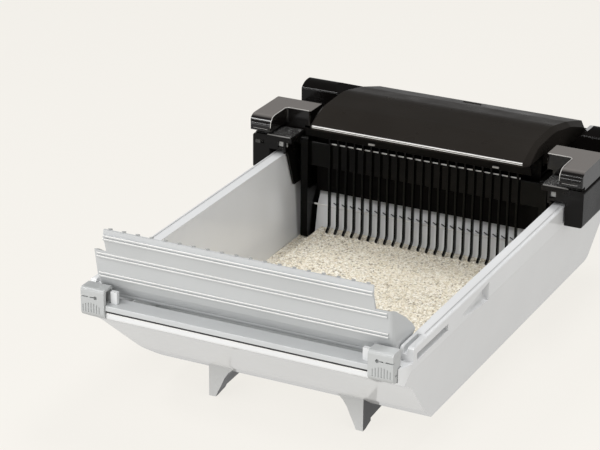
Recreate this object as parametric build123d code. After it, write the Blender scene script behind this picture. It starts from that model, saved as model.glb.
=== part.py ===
from build123d import *
import math
import os

# Automatic raking litter box, millimetres, +Z up, +X to the right seen from the front.
# The origin is on the floor, under the middle of the whole thing.
# Outlines are drawn in two views. "d" is the distance behind the front face of the corner
# catches, "h" is the height above the rail tops, "x" is the distance from the middle.

# ---- overall -------------------------------------------------------------------------------
LENGTH = 680.0            # front face of the catches to the back of the carriage
HOUSING_OUTSIDE = 25.0    # how far an end housing stands outside the rail
CARRIAGE_DEPTH = 212.0    # front to back of an end housing
RAIL_SPAN = 390.0         # outside to outside of the two rails
RAIL_WIDTH = 16.0
RAIL_TOP = 162.0          # floor to rail top
PAN_DEPTH = 140.0         # rail top to the underside of the pan
SEAT = 0.3                # gap under a piece that is only laid in place
PIN_FIT = 0.05            # radial running clearance of every pin in its bore
OVER = 30.0               # cutters run this far past the faces they open

# ---- pan -----------------------------------------------------------------------------------
FLOOR_T = 3.0
PAN_BACK_GAP = 12.0       # back of the pan, in front of the back of the carriage
REAR_WALL_T = 12.0
PAN_FRONT = 4.0           # the catches stand this far proud of the front bar
PLAN_CORNER_R = 26.0
SLOT = (43.0, 125.0, -17.0, -9.0)     # finger slot outside each rail: d, d, h, h
SLOT_DEPTH = 8.0
SCOOP = (152.0, 240.0, -16.5)         # thumb scoop outside each rail: d, d, h
SCOOP_R = (2.5, 12.0)                 # radius at its two ends
SCOOP_OFF = 3.5                       # its axis stands this far outside the wall
TRACK = (4.0, 5.0, 36.0, 8.0)         # open groove in the rail front: inset, width, length, depth
PAN_BOTTOM_HALF = 172.0
SKIRT_H = 24.0            # height of the upright band below the rail
WALL_DRAFT = 10.3         # how far the inner wall leans in on its way to the floor
RAIL_EDGE_R = 2.0
RAIL_FRONT = 34.0         # front end of the rails
LEDGE_H = -13.0           # top of the front ledge
TRIM_T = 2.5
BOW = [(42.0, -50.0), (110.0, -112.0)]   # corners of the sloped bow, outside
BOW_TOP_H = -29.0
BOW_FOOT = 151.0
BOW_BEND_R = (60.0, 90.0)  # rounding of the bow's two corners
BOW_FOOT_R = 30.0
BOW_WALL = (2.5, 3.0)     # inside of the bow, measured back and up from the outside
WELL_FRONT = 30.0
RIDGE_D = 131.0           # front of the ridge between the waste well and the litter
RIDGE_H = -36.0
RAMP_T = 6.0
RAMP_RUN = 60.0           # how far the ramp comes forward of the litter floor's edge
DECK_DROP = 58.0          # rear deck below the rail top
REAR_FOOT_C = 34.0        # foot of the rear wall of the litter space, behind the housings' front
REAR_LEAN = 12.0          # lean of that wall
DECK_BEND = (12.0, 18.0)  # run and rise of the slope between that wall and the deck
LITTER_DEPTH = 33.0
TROUGH_DROP = 15.5        # the litter lies this much lower along the side walls
TINE_GAP = 0.5            # tine tips above the litter

# ---- feet ----------------------------------------------------------------------------------
FOOT_OUT = 97.0           # upright outer edge of a foot, from the middle
FOOT_TIP_W = 8.5
FRONT_FOOT_D = 125.0
REAR_FOOT_D = 560.0
FOOT_FLARE = [(0.0, 0.0), (6.0, 2.5), (16.5, 7.5), (26.0, 11.5), (33.5, 16.5), (46.0, 30.0)]
# rear edge of a foot's side, each point as depth behind its front and height over the floor
FRONT_FOOT_BACK = [(6.0, 0.0), (20.5, 4.2), (20.5, 7.8), (52.0, 10.0), (60.0, 46.0)]
REAR_FOOT_BACK = [(6.0, 0.0), (44.0, 33.0), (44.0, 46.0)]
FOOT_WALL = 2.6
FOOT_LIP = 6.0            # collar left round the foot where it meets the pan
FOOT_PAD = (34.0, 46.0)      # solid pad over a rear foot: width and depth

# ---- corner catches ------------------------------------------------------------------------
CATCH_WIDTH = 29.0
CATCH_DEPTH = 19.0
CATCH_TOP_H = 5.0
CATCH_BOTTOM_H = -30.0
CATCH_R = 8.0             # round foot of the catch, about its pin
CATCH_PIN_R = 1.5
CATCH_SIDE_GAP = 0.6
CATCH_SETBACK = 8.0       # outer side of the catch, inside the outside of the rail
GRIP_GROOVES = 7
GRIP_PITCH = 3.4
GRIP_W = 1.4
GRIP_DEPTH = 0.8

# ---- lid -----------------------------------------------------------------------------------
LID_T = 2.5
LID_SIDE_GAP = 1.0
LID_UPPER_INSET = 18.0    # the part above the middle ridge is this much narrower each side
HINGE_D = 40.0
HINGE_H = -12.0
KNUCKLE_R = 5.0
HINGE_PIN_R = 2.5
HINGE_PIN_HOLD = 7.5      # length of hinge pin held in the pan wall
HINGE_PIN_REACH = 28.0    # length of hinge pin inside the lid
LID_LOW = [(33.5, -10.0), (24.5, 2.0), (19.0, 14.0), (14.0, 41.0), (12.8, 47.0)]
LID_CORNER_R = 5.0
LID_HIGH = [(14.0, 41.0), (6.0, 66.0), (7.0, 75.0)]
LID_RIDGES = [(18.5, 16.0), (14.0, 41.0), (6.0, 66.0)]
RIDGE_BEAD_R = 1.5
RIDGE_BEAD_PITCH = 3.8
RIDGE_BEAD_SUNK = 0.1     # axis of a bead behind the front face
LID_RIB_PITCH = 17.0
LID_RIBS = 19
LID_RIB_T = 1.6
LID_RIB_DEPTH = 4.0
LID_RIB_TIP = 3.0
CHEEK_LINE = [(24.0, 43.0, 8.0), (50.0, 26.0, 8.0), (68.0, 11.5, 8.0), (76.0, 3.0)]
CHEEK_ROOM = (18.0, -66.0)  # the cheeks' room in the pan: in front of the ridge, and its floor
CHEEK_FLOOR = (70.0, -2.0)
TAB_W = 8.0
TAB_D = 11.0

# ---- waste tray ----------------------------------------------------------------------------
TRAY_FRONT = 49.0
TRAY_BACK_GAP = 2.5       # back of the tray, in front of the ridge
TRAY_TOP_H = -40.0
TRAY_WALL = 2.0
TRAY_SIDE_GAP = 0.6

# ---- carriage, "c" is the distance behind the front of the end housings ----------------------
HOUSING_INNER_GAP = 13.0  # inner face of an end housing, inside the rail's inner edge
HOUSING_WALL = 3.0
DECK_TOP_H = 24.0
TUNNEL_TOP_H = 21.0
SKIRT_GAP = 2.0           # skirt clear of the rail's outside
SKIRT_DROP = 22.0
FLANGE_GAP = 1.6          # inner flange clear of the pan wall
FLANGE_DROP = 44.0
FLANGE_T = 3.0
FLANGE_FRONT = [(6.8, 2.7), (19.4, -43.5)]   # its leaning front edge: c, h
FLANGE_BACK_GAP = 8.0     # back of the flange, in front of the pan's rear wall
MOUTH_LOW_H = 6.5         # lower edge of the plate across the mouth of the tunnel
MOUTH_WINDOW = (174.0, 185.0, 9.7, 18.3)     # hole in that plate: x, x, h, h
PIVOT_BOSS_R = 9.0
BOSS_WALL = 3.0           # wall of the other two bosses
CHASSIS_T = 6.0
CHASSIS_FRONT_C = 68.0
CHASSIS_BACK_GAP = 3.0
CHASSIS_RIM = 36.0
CAP_TOP_H = 50.0
CAP_UNDER_H = 31.0
CAP_FRONT_C = -9.0
CAP_STEP_C = 36.0
CAP_BACK_C = 72.0
CAP_NOSE_R = 13.0
CAP_W = 29.0              # width of the cap's front arm
CAP_REACH = 62.0          # width of the cap's rear arm
CAP_NECK = 5.0
BLOCK_DEPTH = 80.0        # a rear block, front to back of the housing
BLOCK_FRONT_H = 43.0
BLOCK_CREST = (15.0, 53.0)     # behind its front, and above the rail
BLOCK_BACK = (2.0, 28.0)
BLOCK_TOP_W = 38.0
BLOCK_REACH = 68.0
BLOCK_INSET = 2.0
HOOD_HALF = 146.0
HOOD_T = 3.0
HOOD_BEVEL = 6.0
HOOD_LIP_H = 40.0
HOOD_LIP_C = 4.0
HOOD_BACK_GAP = 5.0
HOOD_CREST = [(38.0, 60.5, 45.0), (95.0, 62.5, 120.0), (150.0, 51.0, 60.0)]
HOOD_BACK_H = 34.0
LOWER_ARM_GAP = 5.0        # between the lower housing's sides and the rake arms
LOWER_FRONT_C = 41.0
LOWER_BACK_C = 144.0
LOWER_GAP = 3.0           # underside of the lower housing above the rear deck
LOWER_T = 2.5
LOWER_FRONT_TOP_H = 38.0
FASCIA_T = 2.5
FASCIA_LOW = (8.5, 29.5)
FASCIA_LIP = 8.0          # its lower edge turns back this far
WINDOW_X = [-59.0, 105.0]
WINDOW_W = 8.0
WINDOW_H = 2.0
WINDOW_MID_H = 33.5

# ---- drive ---------------------------------------------------------------------------------
WHEEL_R = 10.0
TYRE_T = 2.0
WHEEL_W = 13.0
WHEEL_LIFT = 0.2          # the tyres are drawn this far off the rail
DRIVE_C = 96.0
IDLER_C = 165.0
SHAFT_R = 3.0
BUSH_R = 6.0
IDLER_AXLE_R = 2.5
MODULE = 1.1
PINION_TEETH = 12
GEAR_TEETH = 36
GEAR_W = 10.0
GEAR_X = -22.0
TOOTH_BACKLASH = 0.25
TOOTH_TALLNESS = 0.8      # tooth height above the pitch circle, in modules
PRESSURE_ANGLE = math.radians(20.0)
MOTOR_R = 16.0
MOTOR_L = 60.0
MOTOR_SHAFT_R = 2.0
MOTOR_FIT = 0.02          # radial gap of the motor in its cradle
BRACKET_W = 56.0
BRACKET_DEPTH = 20.0
BOARD = (70.0, 70.0, 1.6)
BOARD_IN = 55.0
BOARD_C = 95.0
BOARD_POST = 22.0
BOARD_POST_R = 3.0

# ---- batteries, switch, inlet, screws -----------------------------------------------------------
CELL_R = 7.25
CELL_L = 50.5
CELL_GAP = 0.5
TRAY_T = 1.6
BATTERY_C = 148.0
BATTERY_FLANGE = 4.0
DOOR_START = 2.0          # along the rear slope of the hood
DOOR_LENGTH = 38.0
DOOR_GAP = 0.4
DOOR_KNUCKLE_R = 2.0
DOOR_PIN_R = 0.9
SWITCH_W = 6.0
SWITCH_H = 4.0
SWITCH_TRAVEL = 5.0
SWITCH_GAP = 0.4
SWITCH_PROUD = 1.5
SWITCH_IN = 10.0          # middle of its slot, inside the side of the housing
SWITCH_MID_H = 14.0
JACK_R = 5.0
JACK_BORE_R = 2.75
JACK_L = 14.0
JACK_BORE_L = 10.0
JACK_IN = 12.0            # inside the side of the housing
JACK_H = 0.0
SCREW_R = 1.5
SCREW_HEAD_R = 3.0
SCREW_HEAD_T = 2.2
SCREW_L = 16.0
SCREW_X = 136.0
BOSS_R = 4.0

# ---- rake ----------------------------------------------------------------------------------
PIVOT_C = 36.0
PIVOT_H = 14.0
RAKE_PIN_R = 4.0
RAKE_SIDE_GAP = 1.3
ARM_T = 9.7
ARM_FRONT_C = 24.0
ARM_DEPTH = 37.0
ARM_TOP_H = 20.0
ARM_CLEAR = 3.5           # bottom of an arm above the litter beside the wall
BAR = (30.0, 35.0, -18.0, 14.0)  # front c, back c, bottom h, top h
TINE_COUNT = 23
TINE_END_GAP = 29.05      # middle of the last tine to its arm
TINE_T = 2.5
TINE_C = (26.0, 30.5)     # front and back of a tine
TINE_TOP_H = 23.0
TINE_CURL = (9.5, 7.0)  # how far a tip reaches forward, and the height it starts at
TINE_TIP = (2.0, 3.0)

# ---- worked out ------------------------------------------------------------------------------
front_y = -LENGTH / 2
car = LENGTH - CARRIAGE_DEPTH
pan_back = LENGTH - PAN_BACK_GAP
rail_out = RAIL_SPAN / 2
rail_in = rail_out - RAIL_WIDTH
side_out = rail_out + HOUSING_OUTSIDE
underside = -PAN_DEPTH
floor_h = underside + FLOOR_T
floor_half = rail_in - WALL_DRAFT
bow_inside = [(d + BOW_WALL[0], h + BOW_WALL[1]) for d, h in BOW]
bow_inside_foot = BOW_FOOT + BOW_WALL[0]
ledge_under = LEDGE_H - TRIM_T
litter_h = floor_h + LITTER_DEPTH
trough_h = litter_h - TROUGH_DROP
tip_h = litter_h + TINE_GAP
arm_bottom = trough_h + ARM_CLEAR
deck_h = -DECK_DROP
ramp_back = RIDGE_D + RAMP_T
catch_out = rail_out - CATCH_SETBACK
catch_in = catch_out - CATCH_WIDTH
catch_pin = (CATCH_R + SEAT, CATCH_BOTTOM_H + CATCH_R)
lid_half = rail_in - LID_SIDE_GAP
lid_upper_half = lid_half - LID_UPPER_INSET
housing_in = rail_in - HOUSING_INNER_GAP
skirt_in = rail_out + SKIRT_GAP
flange_out = rail_in - FLANGE_GAP
flange_low_out = flange_out - WALL_DRAFT * FLANGE_DROP / -floor_h
arm_out = housing_in - RAKE_SIDE_GAP
arm_in = arm_out - ARM_T
lower_half = arm_in - LOWER_ARM_GAP
board_x = BOARD_IN - lower_half
niche_in = arm_in - RAKE_SIDE_GAP * 3
niche_out = arm_out + RAKE_SIDE_GAP * 3
tine_pitch = 2 * (arm_in - TINE_END_GAP) / (TINE_COUNT - 1)
rear_foot = car + REAR_FOOT_C
deck_front = (rear_foot + REAR_LEAN, -DECK_DROP - DECK_BEND[1])
switch_x = side_out - SWITCH_IN
jack_x = side_out - JACK_IN
tray_back = RIDGE_D - TRAY_BACK_GAP
wheel_h = WHEEL_R + WHEEL_LIFT
wheel_x = (rail_in + rail_out) / 2
drive_d = car + DRIVE_C
idler_d = car + IDLER_C
gear_r = MODULE * GEAR_TEETH / 2
pinion_r = MODULE * PINION_TEETH / 2
motor_d = drive_d + gear_r + pinion_r
lower_floor = deck_h + LOWER_GAP
chassis_h = DECK_TOP_H - CHASSIS_T
hood_back = LENGTH - HOOD_BACK_GAP
pivot_d = car + PIVOT_C


# ---- drawing helpers ---------------------------------------------------------------------------
def face_on(plane, corners):
    """A flat face from corners (a, b) or (a, b, corner radius)."""
    radii = [corner[2] if len(corner) == 3 else 0.0 for corner in corners]
    points = [corner[:2] for corner in corners]
    return plane * make_face(FilletPolyline(*points, radius=radii, close=True))


def side_plane(x):
    """The plane at x on which a side-view outline (d, h) is drawn."""
    return Plane(origin=(x, front_y, RAIL_TOP), x_dir=(0, 1, 0), z_dir=(1, 0, 0))


def side(x0, x1, corners):
    """A side-view outline (d, h) carried from x0 to x1."""
    return extrude(face_on(side_plane(x0), corners), amount=x1 - x0)


def front(d0, d1, corners):
    """A front-view outline (x, h) carried from d0 back to d1."""
    plane = Plane(origin=(0, front_y + d1, RAIL_TOP), x_dir=(1, 0, 0), z_dir=(0, -1, 0))
    return extrude(face_on(plane, corners), amount=d1 - d0)


def block(x0, x1, d0, d1, h0, h1):
    centre = ((x0 + x1) / 2, front_y + (d0 + d1) / 2, RAIL_TOP + (h0 + h1) / 2)
    return Pos(*centre) * Box(abs(x1 - x0), d1 - d0, h1 - h0)


def rod(radius, x0, x1, d, h):
    """A round bar along X."""
    place = Pos((x0 + x1) / 2, front_y + d, RAIL_TOP + h)
    return place * Rot(0, 90, 0) * Cylinder(radius, abs(x1 - x0))


def rod_back(radius, x, d0, d1, h):
    """A round bar along Y."""
    return Pos(x, front_y + (d0 + d1) / 2, RAIL_TOP + h) * Rot(90, 0, 0) * Cylinder(radius, d1 - d0)


def post(radius, x, d, h0, h1):
    return Pos(x, front_y + d, RAIL_TOP + (h0 + h1) / 2) * Cylinder(radius, h1 - h0)


def other_side(shape):
    return mirror(shape, about=Plane.YZ)


def both(shape):
    return shape + other_side(shape)


def symmetric(half):
    """A closed outline from its right half, which runs from the top down."""
    return half + [(-corner[0],) + tuple(corner[1:]) for corner in reversed(half)]


def inside_bow(d):
    """Height of the inner surface of the bow at distance d."""
    line = bow_inside + [(bow_inside_foot, floor_h)]
    for (d0, h0), (d1, h1) in zip(line, line[1:]):
        if d <= d1:
            return h0 + (h1 - h0) * (d - d0) / (d1 - d0)
    return floor_h


# ---- pan -----------------------------------------------------------------------------------

def pan_outside():
    bow = [(d, h, r) for (d, h), r in zip(BOW, BOW_BEND_R)]
    profile = side(-rail_out, rail_out, [
        (PAN_FRONT, ledge_under), (PAN_FRONT, BOW_TOP_H, 3.0), *bow, (BOW_FOOT, underside, BOW_FOOT_R),
        (pan_back - 46.0, underside, 30.0), (pan_back, -SKIRT_H, 20.0), (pan_back, 0.0),
        (RAIL_FRONT, 0.0, 4.0), (RAIL_FRONT, ledge_under)])
    section = front(0.0, LENGTH, symmetric([
        (rail_out, 0.0, RAIL_EDGE_R), (rail_out, -SKIRT_H, 6.0), (PAN_BOTTOM_HALF, underside, 16.0)]))
    plan_plane = Plane(origin=(0, front_y, RAIL_TOP - PAN_DEPTH - OVER))
    plan = extrude(face_on(plan_plane, [
        (rail_out, PAN_FRONT, PLAN_CORNER_R), (rail_out, pan_back, PLAN_CORNER_R),
        (-rail_out, pan_back, PLAN_CORNER_R), (-rail_out, PAN_FRONT, PLAN_CORNER_R)]),
        amount=PAN_DEPTH + 2 * OVER)
    return profile & section & plan


def litter_space(gap):
    """The space over the litter floor, drawn in by gap all round."""
    profile = side(-rail_out, rail_out, [
        (RIDGE_D - 1.0, OVER), (RIDGE_D - 1.0, RIDGE_H), (ramp_back + gap, RIDGE_H),
        (ramp_back + RAMP_RUN + gap, floor_h + gap, 20.0), (rear_foot - gap, floor_h + gap, 12.0),
        (deck_front[0] - gap, deck_front[1], 3.0), (deck_front[0] + DECK_BEND[0], deck_h, 3.0),
        (pan_back - REAR_WALL_T - 4.0, deck_h, 6.0), (pan_back - REAR_WALL_T, OVER)])
    section = front(0.0, LENGTH, symmetric([
        (rail_in - gap, OVER), (rail_in - gap, 0.0), (floor_half - gap, floor_h + gap, 6.0)]))
    return profile & section


def waste_well():
    corners = [
        (WELL_FRONT, OVER), (WELL_FRONT, bow_inside[0][1] + 8.0, 2.0), *bow_inside,
        (bow_inside_foot, floor_h), (RIDGE_D + RAMP_RUN, floor_h), (RIDGE_D, RIDGE_H), (RIDGE_D, OVER)]
    profile = side(-rail_out, rail_out, corners)
    section = front(0.0, LENGTH, symmetric([
        (rail_in, OVER), (rail_in, 0.0), (floor_half, floor_h)]))
    wide = rail_in + CATCH_SIDE_GAP
    cheek_room = profile & block(-wide, wide, WELL_FRONT - OVER, RIDGE_D - CHEEK_ROOM[0],
                                 CHEEK_ROOM[1], OVER)
    return (profile & section) + cheek_room


def under_deck():
    """The hollow under the rear deck, open below, with solid pads left over the rear feet."""
    half = niche_in - FLOOR_T
    room = side(-half, half, [
        (rear_foot + 2 * FLOOR_T, underside - 1.0), (deck_front[0] + 2 * FLOOR_T, deck_front[1] - FLOOR_T),
        (deck_front[0] + DECK_BEND[0] + FLOOR_T, deck_h - FLOOR_T),
        (pan_back - REAR_WALL_T - 6.0, deck_h - FLOOR_T), (pan_back - 56.0, underside - 1.0)])
    pad = block(FOOT_OUT - FOOT_PAD[0], FOOT_OUT + FOOT_WALL, REAR_FOOT_D - FOOT_WALL,
                REAR_FOOT_D + FOOT_PAD[1], underside - 2.0, deck_h)
    return room - both(pad)


def make_pan():
    pan = pan_outside() - litter_space(0.0) - waste_well()
    gap = CATCH_SIDE_GAP
    corner = block(catch_in - gap, catch_out + gap, -OVER, CATCH_DEPTH + 1.0, CATCH_BOTTOM_H - 1.0, OVER)
    catch_bore = rod(CATCH_PIN_R, catch_in - 8.0, catch_in, *catch_pin)
    hinge_bore = rod(HINGE_PIN_R, rail_in - 2.0, rail_in + HINGE_PIN_HOLD, HINGE_D, HINGE_H)
    niche = block(niche_in, niche_out, car + 18.0, car + ARM_FRONT_C + ARM_DEPTH + 7.0,
                  arm_bottom - 5.0, deck_h + 2.0)
    slot = block(rail_out - SLOT_DEPTH, rail_out + OVER, *SLOT)
    scoop_start, scoop_end, scoop_h = SCOOP
    scoop_place = Pos(rail_out + SCOOP_OFF, front_y + (scoop_start + scoop_end) / 2, RAIL_TOP + scoop_h)
    scoop = scoop_place * Rot(-90, 0, 0) * Cone(*SCOOP_R, scoop_end - scoop_start)
    inset, width, length, depth = TRACK
    track = block(rail_in + inset, rail_in + inset + width, 0.0, RAIL_FRONT + length, -depth, OVER)
    cuts = corner + catch_bore + hinge_bore + niche + slot + scoop + track
    groove = block(-catch_in, catch_in, 0.0, PAN_FRONT + 1.5, -22.4, -21.0)
    tab = block(catch_in - TAB_W - 2.5, catch_in - 2.5, TAB_D, TAB_D + 5.0, ledge_under, 1.0)
    return pan - both(cuts) - groove - under_deck() + both(tab)


def make_trim():
    """The strip that covers the front ledge between the catches, with its turned-down lip."""
    half = catch_in - CATCH_SIDE_GAP
    strip = side(-half, half, [
        (PAN_FRONT - 1.5, LEDGE_H - 6.0), (PAN_FRONT - 1.5, LEDGE_H, 1.2), (26.0, LEDGE_H),
        (26.0, ledge_under), (PAN_FRONT, ledge_under), (PAN_FRONT, LEDGE_H - 6.0)])
    tab = block(catch_in - TAB_W - 2.8, catch_in, TAB_D - SEAT, TAB_D + 5.0 + SEAT, ledge_under, LEDGE_H)
    return strip - both(tab)


def make_foot(d, back, hull):
    """The right foot at d: a post with an upright outer side, hollow and open to the rear."""
    tip_in = FOOT_OUT - FOOT_TIP_W
    top = FOOT_FLARE[-1][0] - RAIL_TOP
    edge = [(tip_in - reach, up - RAIL_TOP) for up, reach in FOOT_FLARE]
    width = front(d, d + 2 * OVER, [(FOOT_OUT, top), (FOOT_OUT, -RAIL_TOP), *edge])
    room = front(d + FOOT_WALL, d + 2 * OVER, [
        (FOOT_OUT - FOOT_WALL, top), (FOOT_OUT - FOOT_WALL, FOOT_WALL - RAIL_TOP),
        *[(x + FOOT_WALL, h + (FOOT_WALL if h == -RAIL_TOP else 0.0)) for x, h in edge]])
    rear_edge = [(d + depth, up - RAIL_TOP) for depth, up in back]
    length = side(0.0, FOOT_OUT + OVER, [(d, top), (d, -RAIL_TOP), *rear_edge])
    return (width & length) - (room - Pos(0, 0, -FOOT_LIP) * hull) - hull


def make_litter():
    bed = litter_space(SEAT) & block(-rail_out, rail_out, ramp_back, car + OVER, floor_h, litter_h)
    trough = block(arm_in - RAKE_SIDE_GAP * 2, rail_out, 0.0, LENGTH, trough_h, OVER)
    return bed - both(trough)


# ---- front catches, lid, waste tray ---------------------------------------------------------------
def make_catch():
    back = CATCH_DEPTH
    foot = CATCH_R - 0.1
    body = side(catch_in, catch_out, [
        (SEAT, CATCH_TOP_H, 4.0), (back, CATCH_TOP_H, 1.5), (back, catch_pin[1] + 9.0),
        (2 * CATCH_R + SEAT, catch_pin[1] + 3.0), (2 * CATCH_R + SEAT, CATCH_BOTTOM_H, foot),
        (SEAT, CATCH_BOTTOM_H, foot)])
    eye_x = catch_in + CATCH_WIDTH * 0.37
    eye = rod_back(2.2, eye_x, -1.0, 4.0, -5.5)
    slit = block(eye_x, catch_out + 1.0, -1.0, 3.5, -6.2, -4.8)
    stud = block(eye_x + 7.0, eye_x + 9.5, 0.6, 4.0, -7.0, -4.0)
    pocket = block(catch_in - 1.0, catch_in + 6.0, 5.0, 17.0, LEDGE_H, CATCH_TOP_H - 3.0)
    bore = rod(CATCH_PIN_R + PIN_FIT, catch_in - 1.0, catch_out + 1.0, *catch_pin)
    body = body - eye - slit - pocket - bore + stud
    middle = (catch_in + catch_out) / 2 + 1.5
    for i in range(GRIP_GROOVES):
        step = i - (GRIP_GROOVES - 1) / 2
        x = middle + step * GRIP_PITCH
        top = -12.0 - 0.35 * step * step
        body -= block(x - GRIP_W / 2, x + GRIP_W / 2, -1.0, SEAT + GRIP_DEPTH, catch_pin[1] - 1.5, top)
    return body


def lid_line(line, inset):
    """The outside line of a lid panel, moved back by inset and rounded at its bends."""
    return [(d + inset, h, 6.0 if 0 < i < len(line) - 1 else 0.0) for i, (d, h) in enumerate(line)]


def lid_block(inset):
    """Everything behind the lid's lower front face, with round upright corners, drawn in by inset."""
    half = lid_half - inset
    top, foot = LID_LOW[-1][0] + inset, LID_LOW[0][0] + inset
    body = side(-half, half, lid_line(LID_LOW, inset) + [
        (top, 3 * OVER), (4 * OVER, 3 * OVER), (4 * OVER, -OVER), (foot, -OVER)])
    corners = [edge for edge in body.edges() if abs(abs(edge.center().X) - half) < 0.01
               and edge.bounding_box().max.Y < front_y + foot + 0.1]
    return fillet(corners, LID_CORNER_R - inset)


def make_lid():
    """Two panels, curved cheeks at the lower one's ends, ribs behind the upper one."""
    foot = LID_LOW[0][0] + LID_T
    outline = side(-lid_half, lid_half, [
        (0.0, LID_LOW[-1][1]), LID_LOW[-1], *CHEEK_LINE, CHEEK_FLOOR, (foot, CHEEK_FLOOR[1]),
        (foot, LID_LOW[0][1]), (0.0, LID_LOW[0][1])])
    lid = (lid_block(0.0) & outline) - lid_block(LID_T)
    lid += side(-lid_upper_half, lid_upper_half,
                lid_line(LID_HIGH, 0.0) + list(reversed(lid_line(LID_HIGH, LID_T))))
    knuckle = rod(KNUCKLE_R, -lid_half, lid_half, HINGE_D, HINGE_H)
    flat = lid_half - LID_CORNER_R
    web = side(-flat, flat, [
        LID_LOW[0], (LID_LOW[0][0] + LID_T, LID_LOW[0][1] + 1.0), (HINGE_D, HINGE_H + KNUCKLE_R - 0.5),
        (HINGE_D - KNUCKLE_R + 0.5, HINGE_H)])
    lid += knuckle + web
    for (d, h), half in zip(LID_RIDGES, [flat, flat, lid_upper_half]):
        for shift in (-RIDGE_BEAD_PITCH / 2, RIDGE_BEAD_PITCH / 2):
            lid += rod(RIDGE_BEAD_R, -half, half, d + RIDGE_BEAD_SUNK, h + shift)
    rib_line = [(d + LID_T, h) for d, h in LID_HIGH] + [(LID_HIGH[-1][0], LID_HIGH[-1][1] + LID_RIB_TIP)]
    rib_back = [(d + LID_T + LID_RIB_DEPTH, h) for d, h in reversed(LID_HIGH)]
    rib_line = [(d - 1.0, h) for d, h in rib_line]
    for i in range(LID_RIBS):
        x = (i - (LID_RIBS - 1) / 2) * LID_RIB_PITCH
        lid += side(x - LID_RIB_T / 2, x + LID_RIB_T / 2, rib_line + rib_back)
    bore = rod(HINGE_PIN_R + PIN_FIT, lid_half - HINGE_PIN_REACH, lid_half + 1.0, HINGE_D, HINGE_H)
    return lid - both(bore)


def tray_outline(wall):
    """The tray's side view: its front and floor follow the inside of the bow."""
    lift = SEAT * 1.4 + wall * 1.4
    top = TRAY_TOP_H if wall == 0 else TRAY_TOP_H + OVER
    start = TRAY_FRONT + wall
    stop = tray_back - wall
    knee = bow_inside[1][0]
    return [(start, top), (start, inside_bow(start) + lift), (knee, inside_bow(knee) + lift),
            (stop, inside_bow(stop) + lift), (stop, top)]


def make_waste_tray():
    half = floor_half - TRAY_SIDE_GAP
    return side(-half, half, tray_outline(0.0)) - side(-half + TRAY_WALL, half - TRAY_WALL,
                                                       tray_outline(TRAY_WALL))


# ---- carriage ------------------------------------------------------------------------------
def make_end_housing():
    """The right end housing: it straddles the rail, and its hollow skirt hangs outside."""
    flange_in = flange_out - FLANGE_T
    section = front(car, LENGTH, [
        (housing_in, DECK_TOP_H, 2.0), (side_out, DECK_TOP_H, 4.0), (side_out, -SKIRT_DROP, 3.0),
        (skirt_in, -SKIRT_DROP), (skirt_in, TUNNEL_TOP_H), (flange_out, TUNNEL_TOP_H), (flange_out, 0.0),
        (flange_low_out, -FLANGE_DROP), (flange_low_out - FLANGE_T, -FLANGE_DROP), (flange_in, 0.0),
        (flange_in, chassis_h), (housing_in, chassis_h)])
    (c0, h0), (c1, h1) = FLANGE_FRONT
    low = -2 * OVER
    flange_cut = side(housing_in, flange_out + 0.1, [
        (car - 1.0, low), (car - 1.0, h0), (car + c0, h0), (car + c1, h1), (car + c1, low)])
    flange_cut += block(housing_in, flange_out + 0.1, pan_back - REAR_WALL_T - FLANGE_BACK_GAP,
                        LENGTH + 1.0, low, 1.0)
    hollow = block(skirt_in + HOUSING_WALL, side_out - HOUSING_WALL, car + HOUSING_WALL,
                   LENGTH - HOUSING_WALL, -SKIRT_DROP - 1.0, DECK_TOP_H - HOUSING_WALL)
    mouth = block(flange_in, skirt_in + 1.0, car, car + HOUSING_WALL, MOUTH_LOW_H, TUNNEL_TOP_H + 1.0)
    x0, x1, low_h, high_h = MOUTH_WINDOW
    mouth -= block(x0, x1, car - 1.0, car + HOUSING_WALL + 1.0, low_h, high_h)
    housing = section - flange_cut - hollow + mouth
    housing += rod(PIVOT_BOSS_R, housing_in, flange_in + 1.0, pivot_d, PIVOT_H)
    housing += rod(BUSH_R + BOSS_WALL, housing_in, flange_in + 1.0, drive_d, wheel_h)
    housing += rod(IDLER_AXLE_R + BOSS_WALL, housing_in, flange_in + 1.0, idler_d, wheel_h)
    bores = rod(BUSH_R, housing_in - 1.0, flange_out + 1.0, drive_d, wheel_h)
    bores += rod(RAKE_PIN_R, housing_in - 1.0, flange_out + 1.0, pivot_d, PIVOT_H)
    bores += rod(IDLER_AXLE_R, housing_in + 2.0, skirt_in + HOUSING_WALL, idler_d, wheel_h)
    return housing - bores


def switch_slot():
    """The slot of the power switch, in the front wall of the left end housing."""
    half = (SWITCH_W + SWITCH_TRAVEL) / 2 + SWITCH_GAP
    low = SWITCH_MID_H - SWITCH_H / 2 - SWITCH_GAP
    high = SWITCH_MID_H + SWITCH_H / 2 + SWITCH_GAP
    return block(-switch_x - half, -switch_x + half, car - 1.0, car + HOUSING_WALL + 0.1, low, high)


def make_switch():
    x = -switch_x - SWITCH_TRAVEL / 2
    knob = block(x - SWITCH_W / 2, x + SWITCH_W / 2, car - SWITCH_PROUD, car + HOUSING_WALL + SWITCH_GAP,
                 SWITCH_MID_H - SWITCH_H / 2, SWITCH_MID_H + SWITCH_H / 2)
    for i in (-1, 0, 1):
        knob -= block(x + i * 1.8 - 0.4, x + i * 1.8 + 0.4, car - SWITCH_PROUD - 1.0,
                      car - SWITCH_PROUD + 0.5, SWITCH_MID_H - SWITCH_H, SWITCH_MID_H + SWITCH_H)
    plate = block(x - 4.0, x + 4.0, car + HOUSING_WALL + SEAT, car + HOUSING_WALL + 2.0,
                  SWITCH_MID_H - 4.5, SWITCH_MID_H + 4.5)
    return knob + plate


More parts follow.
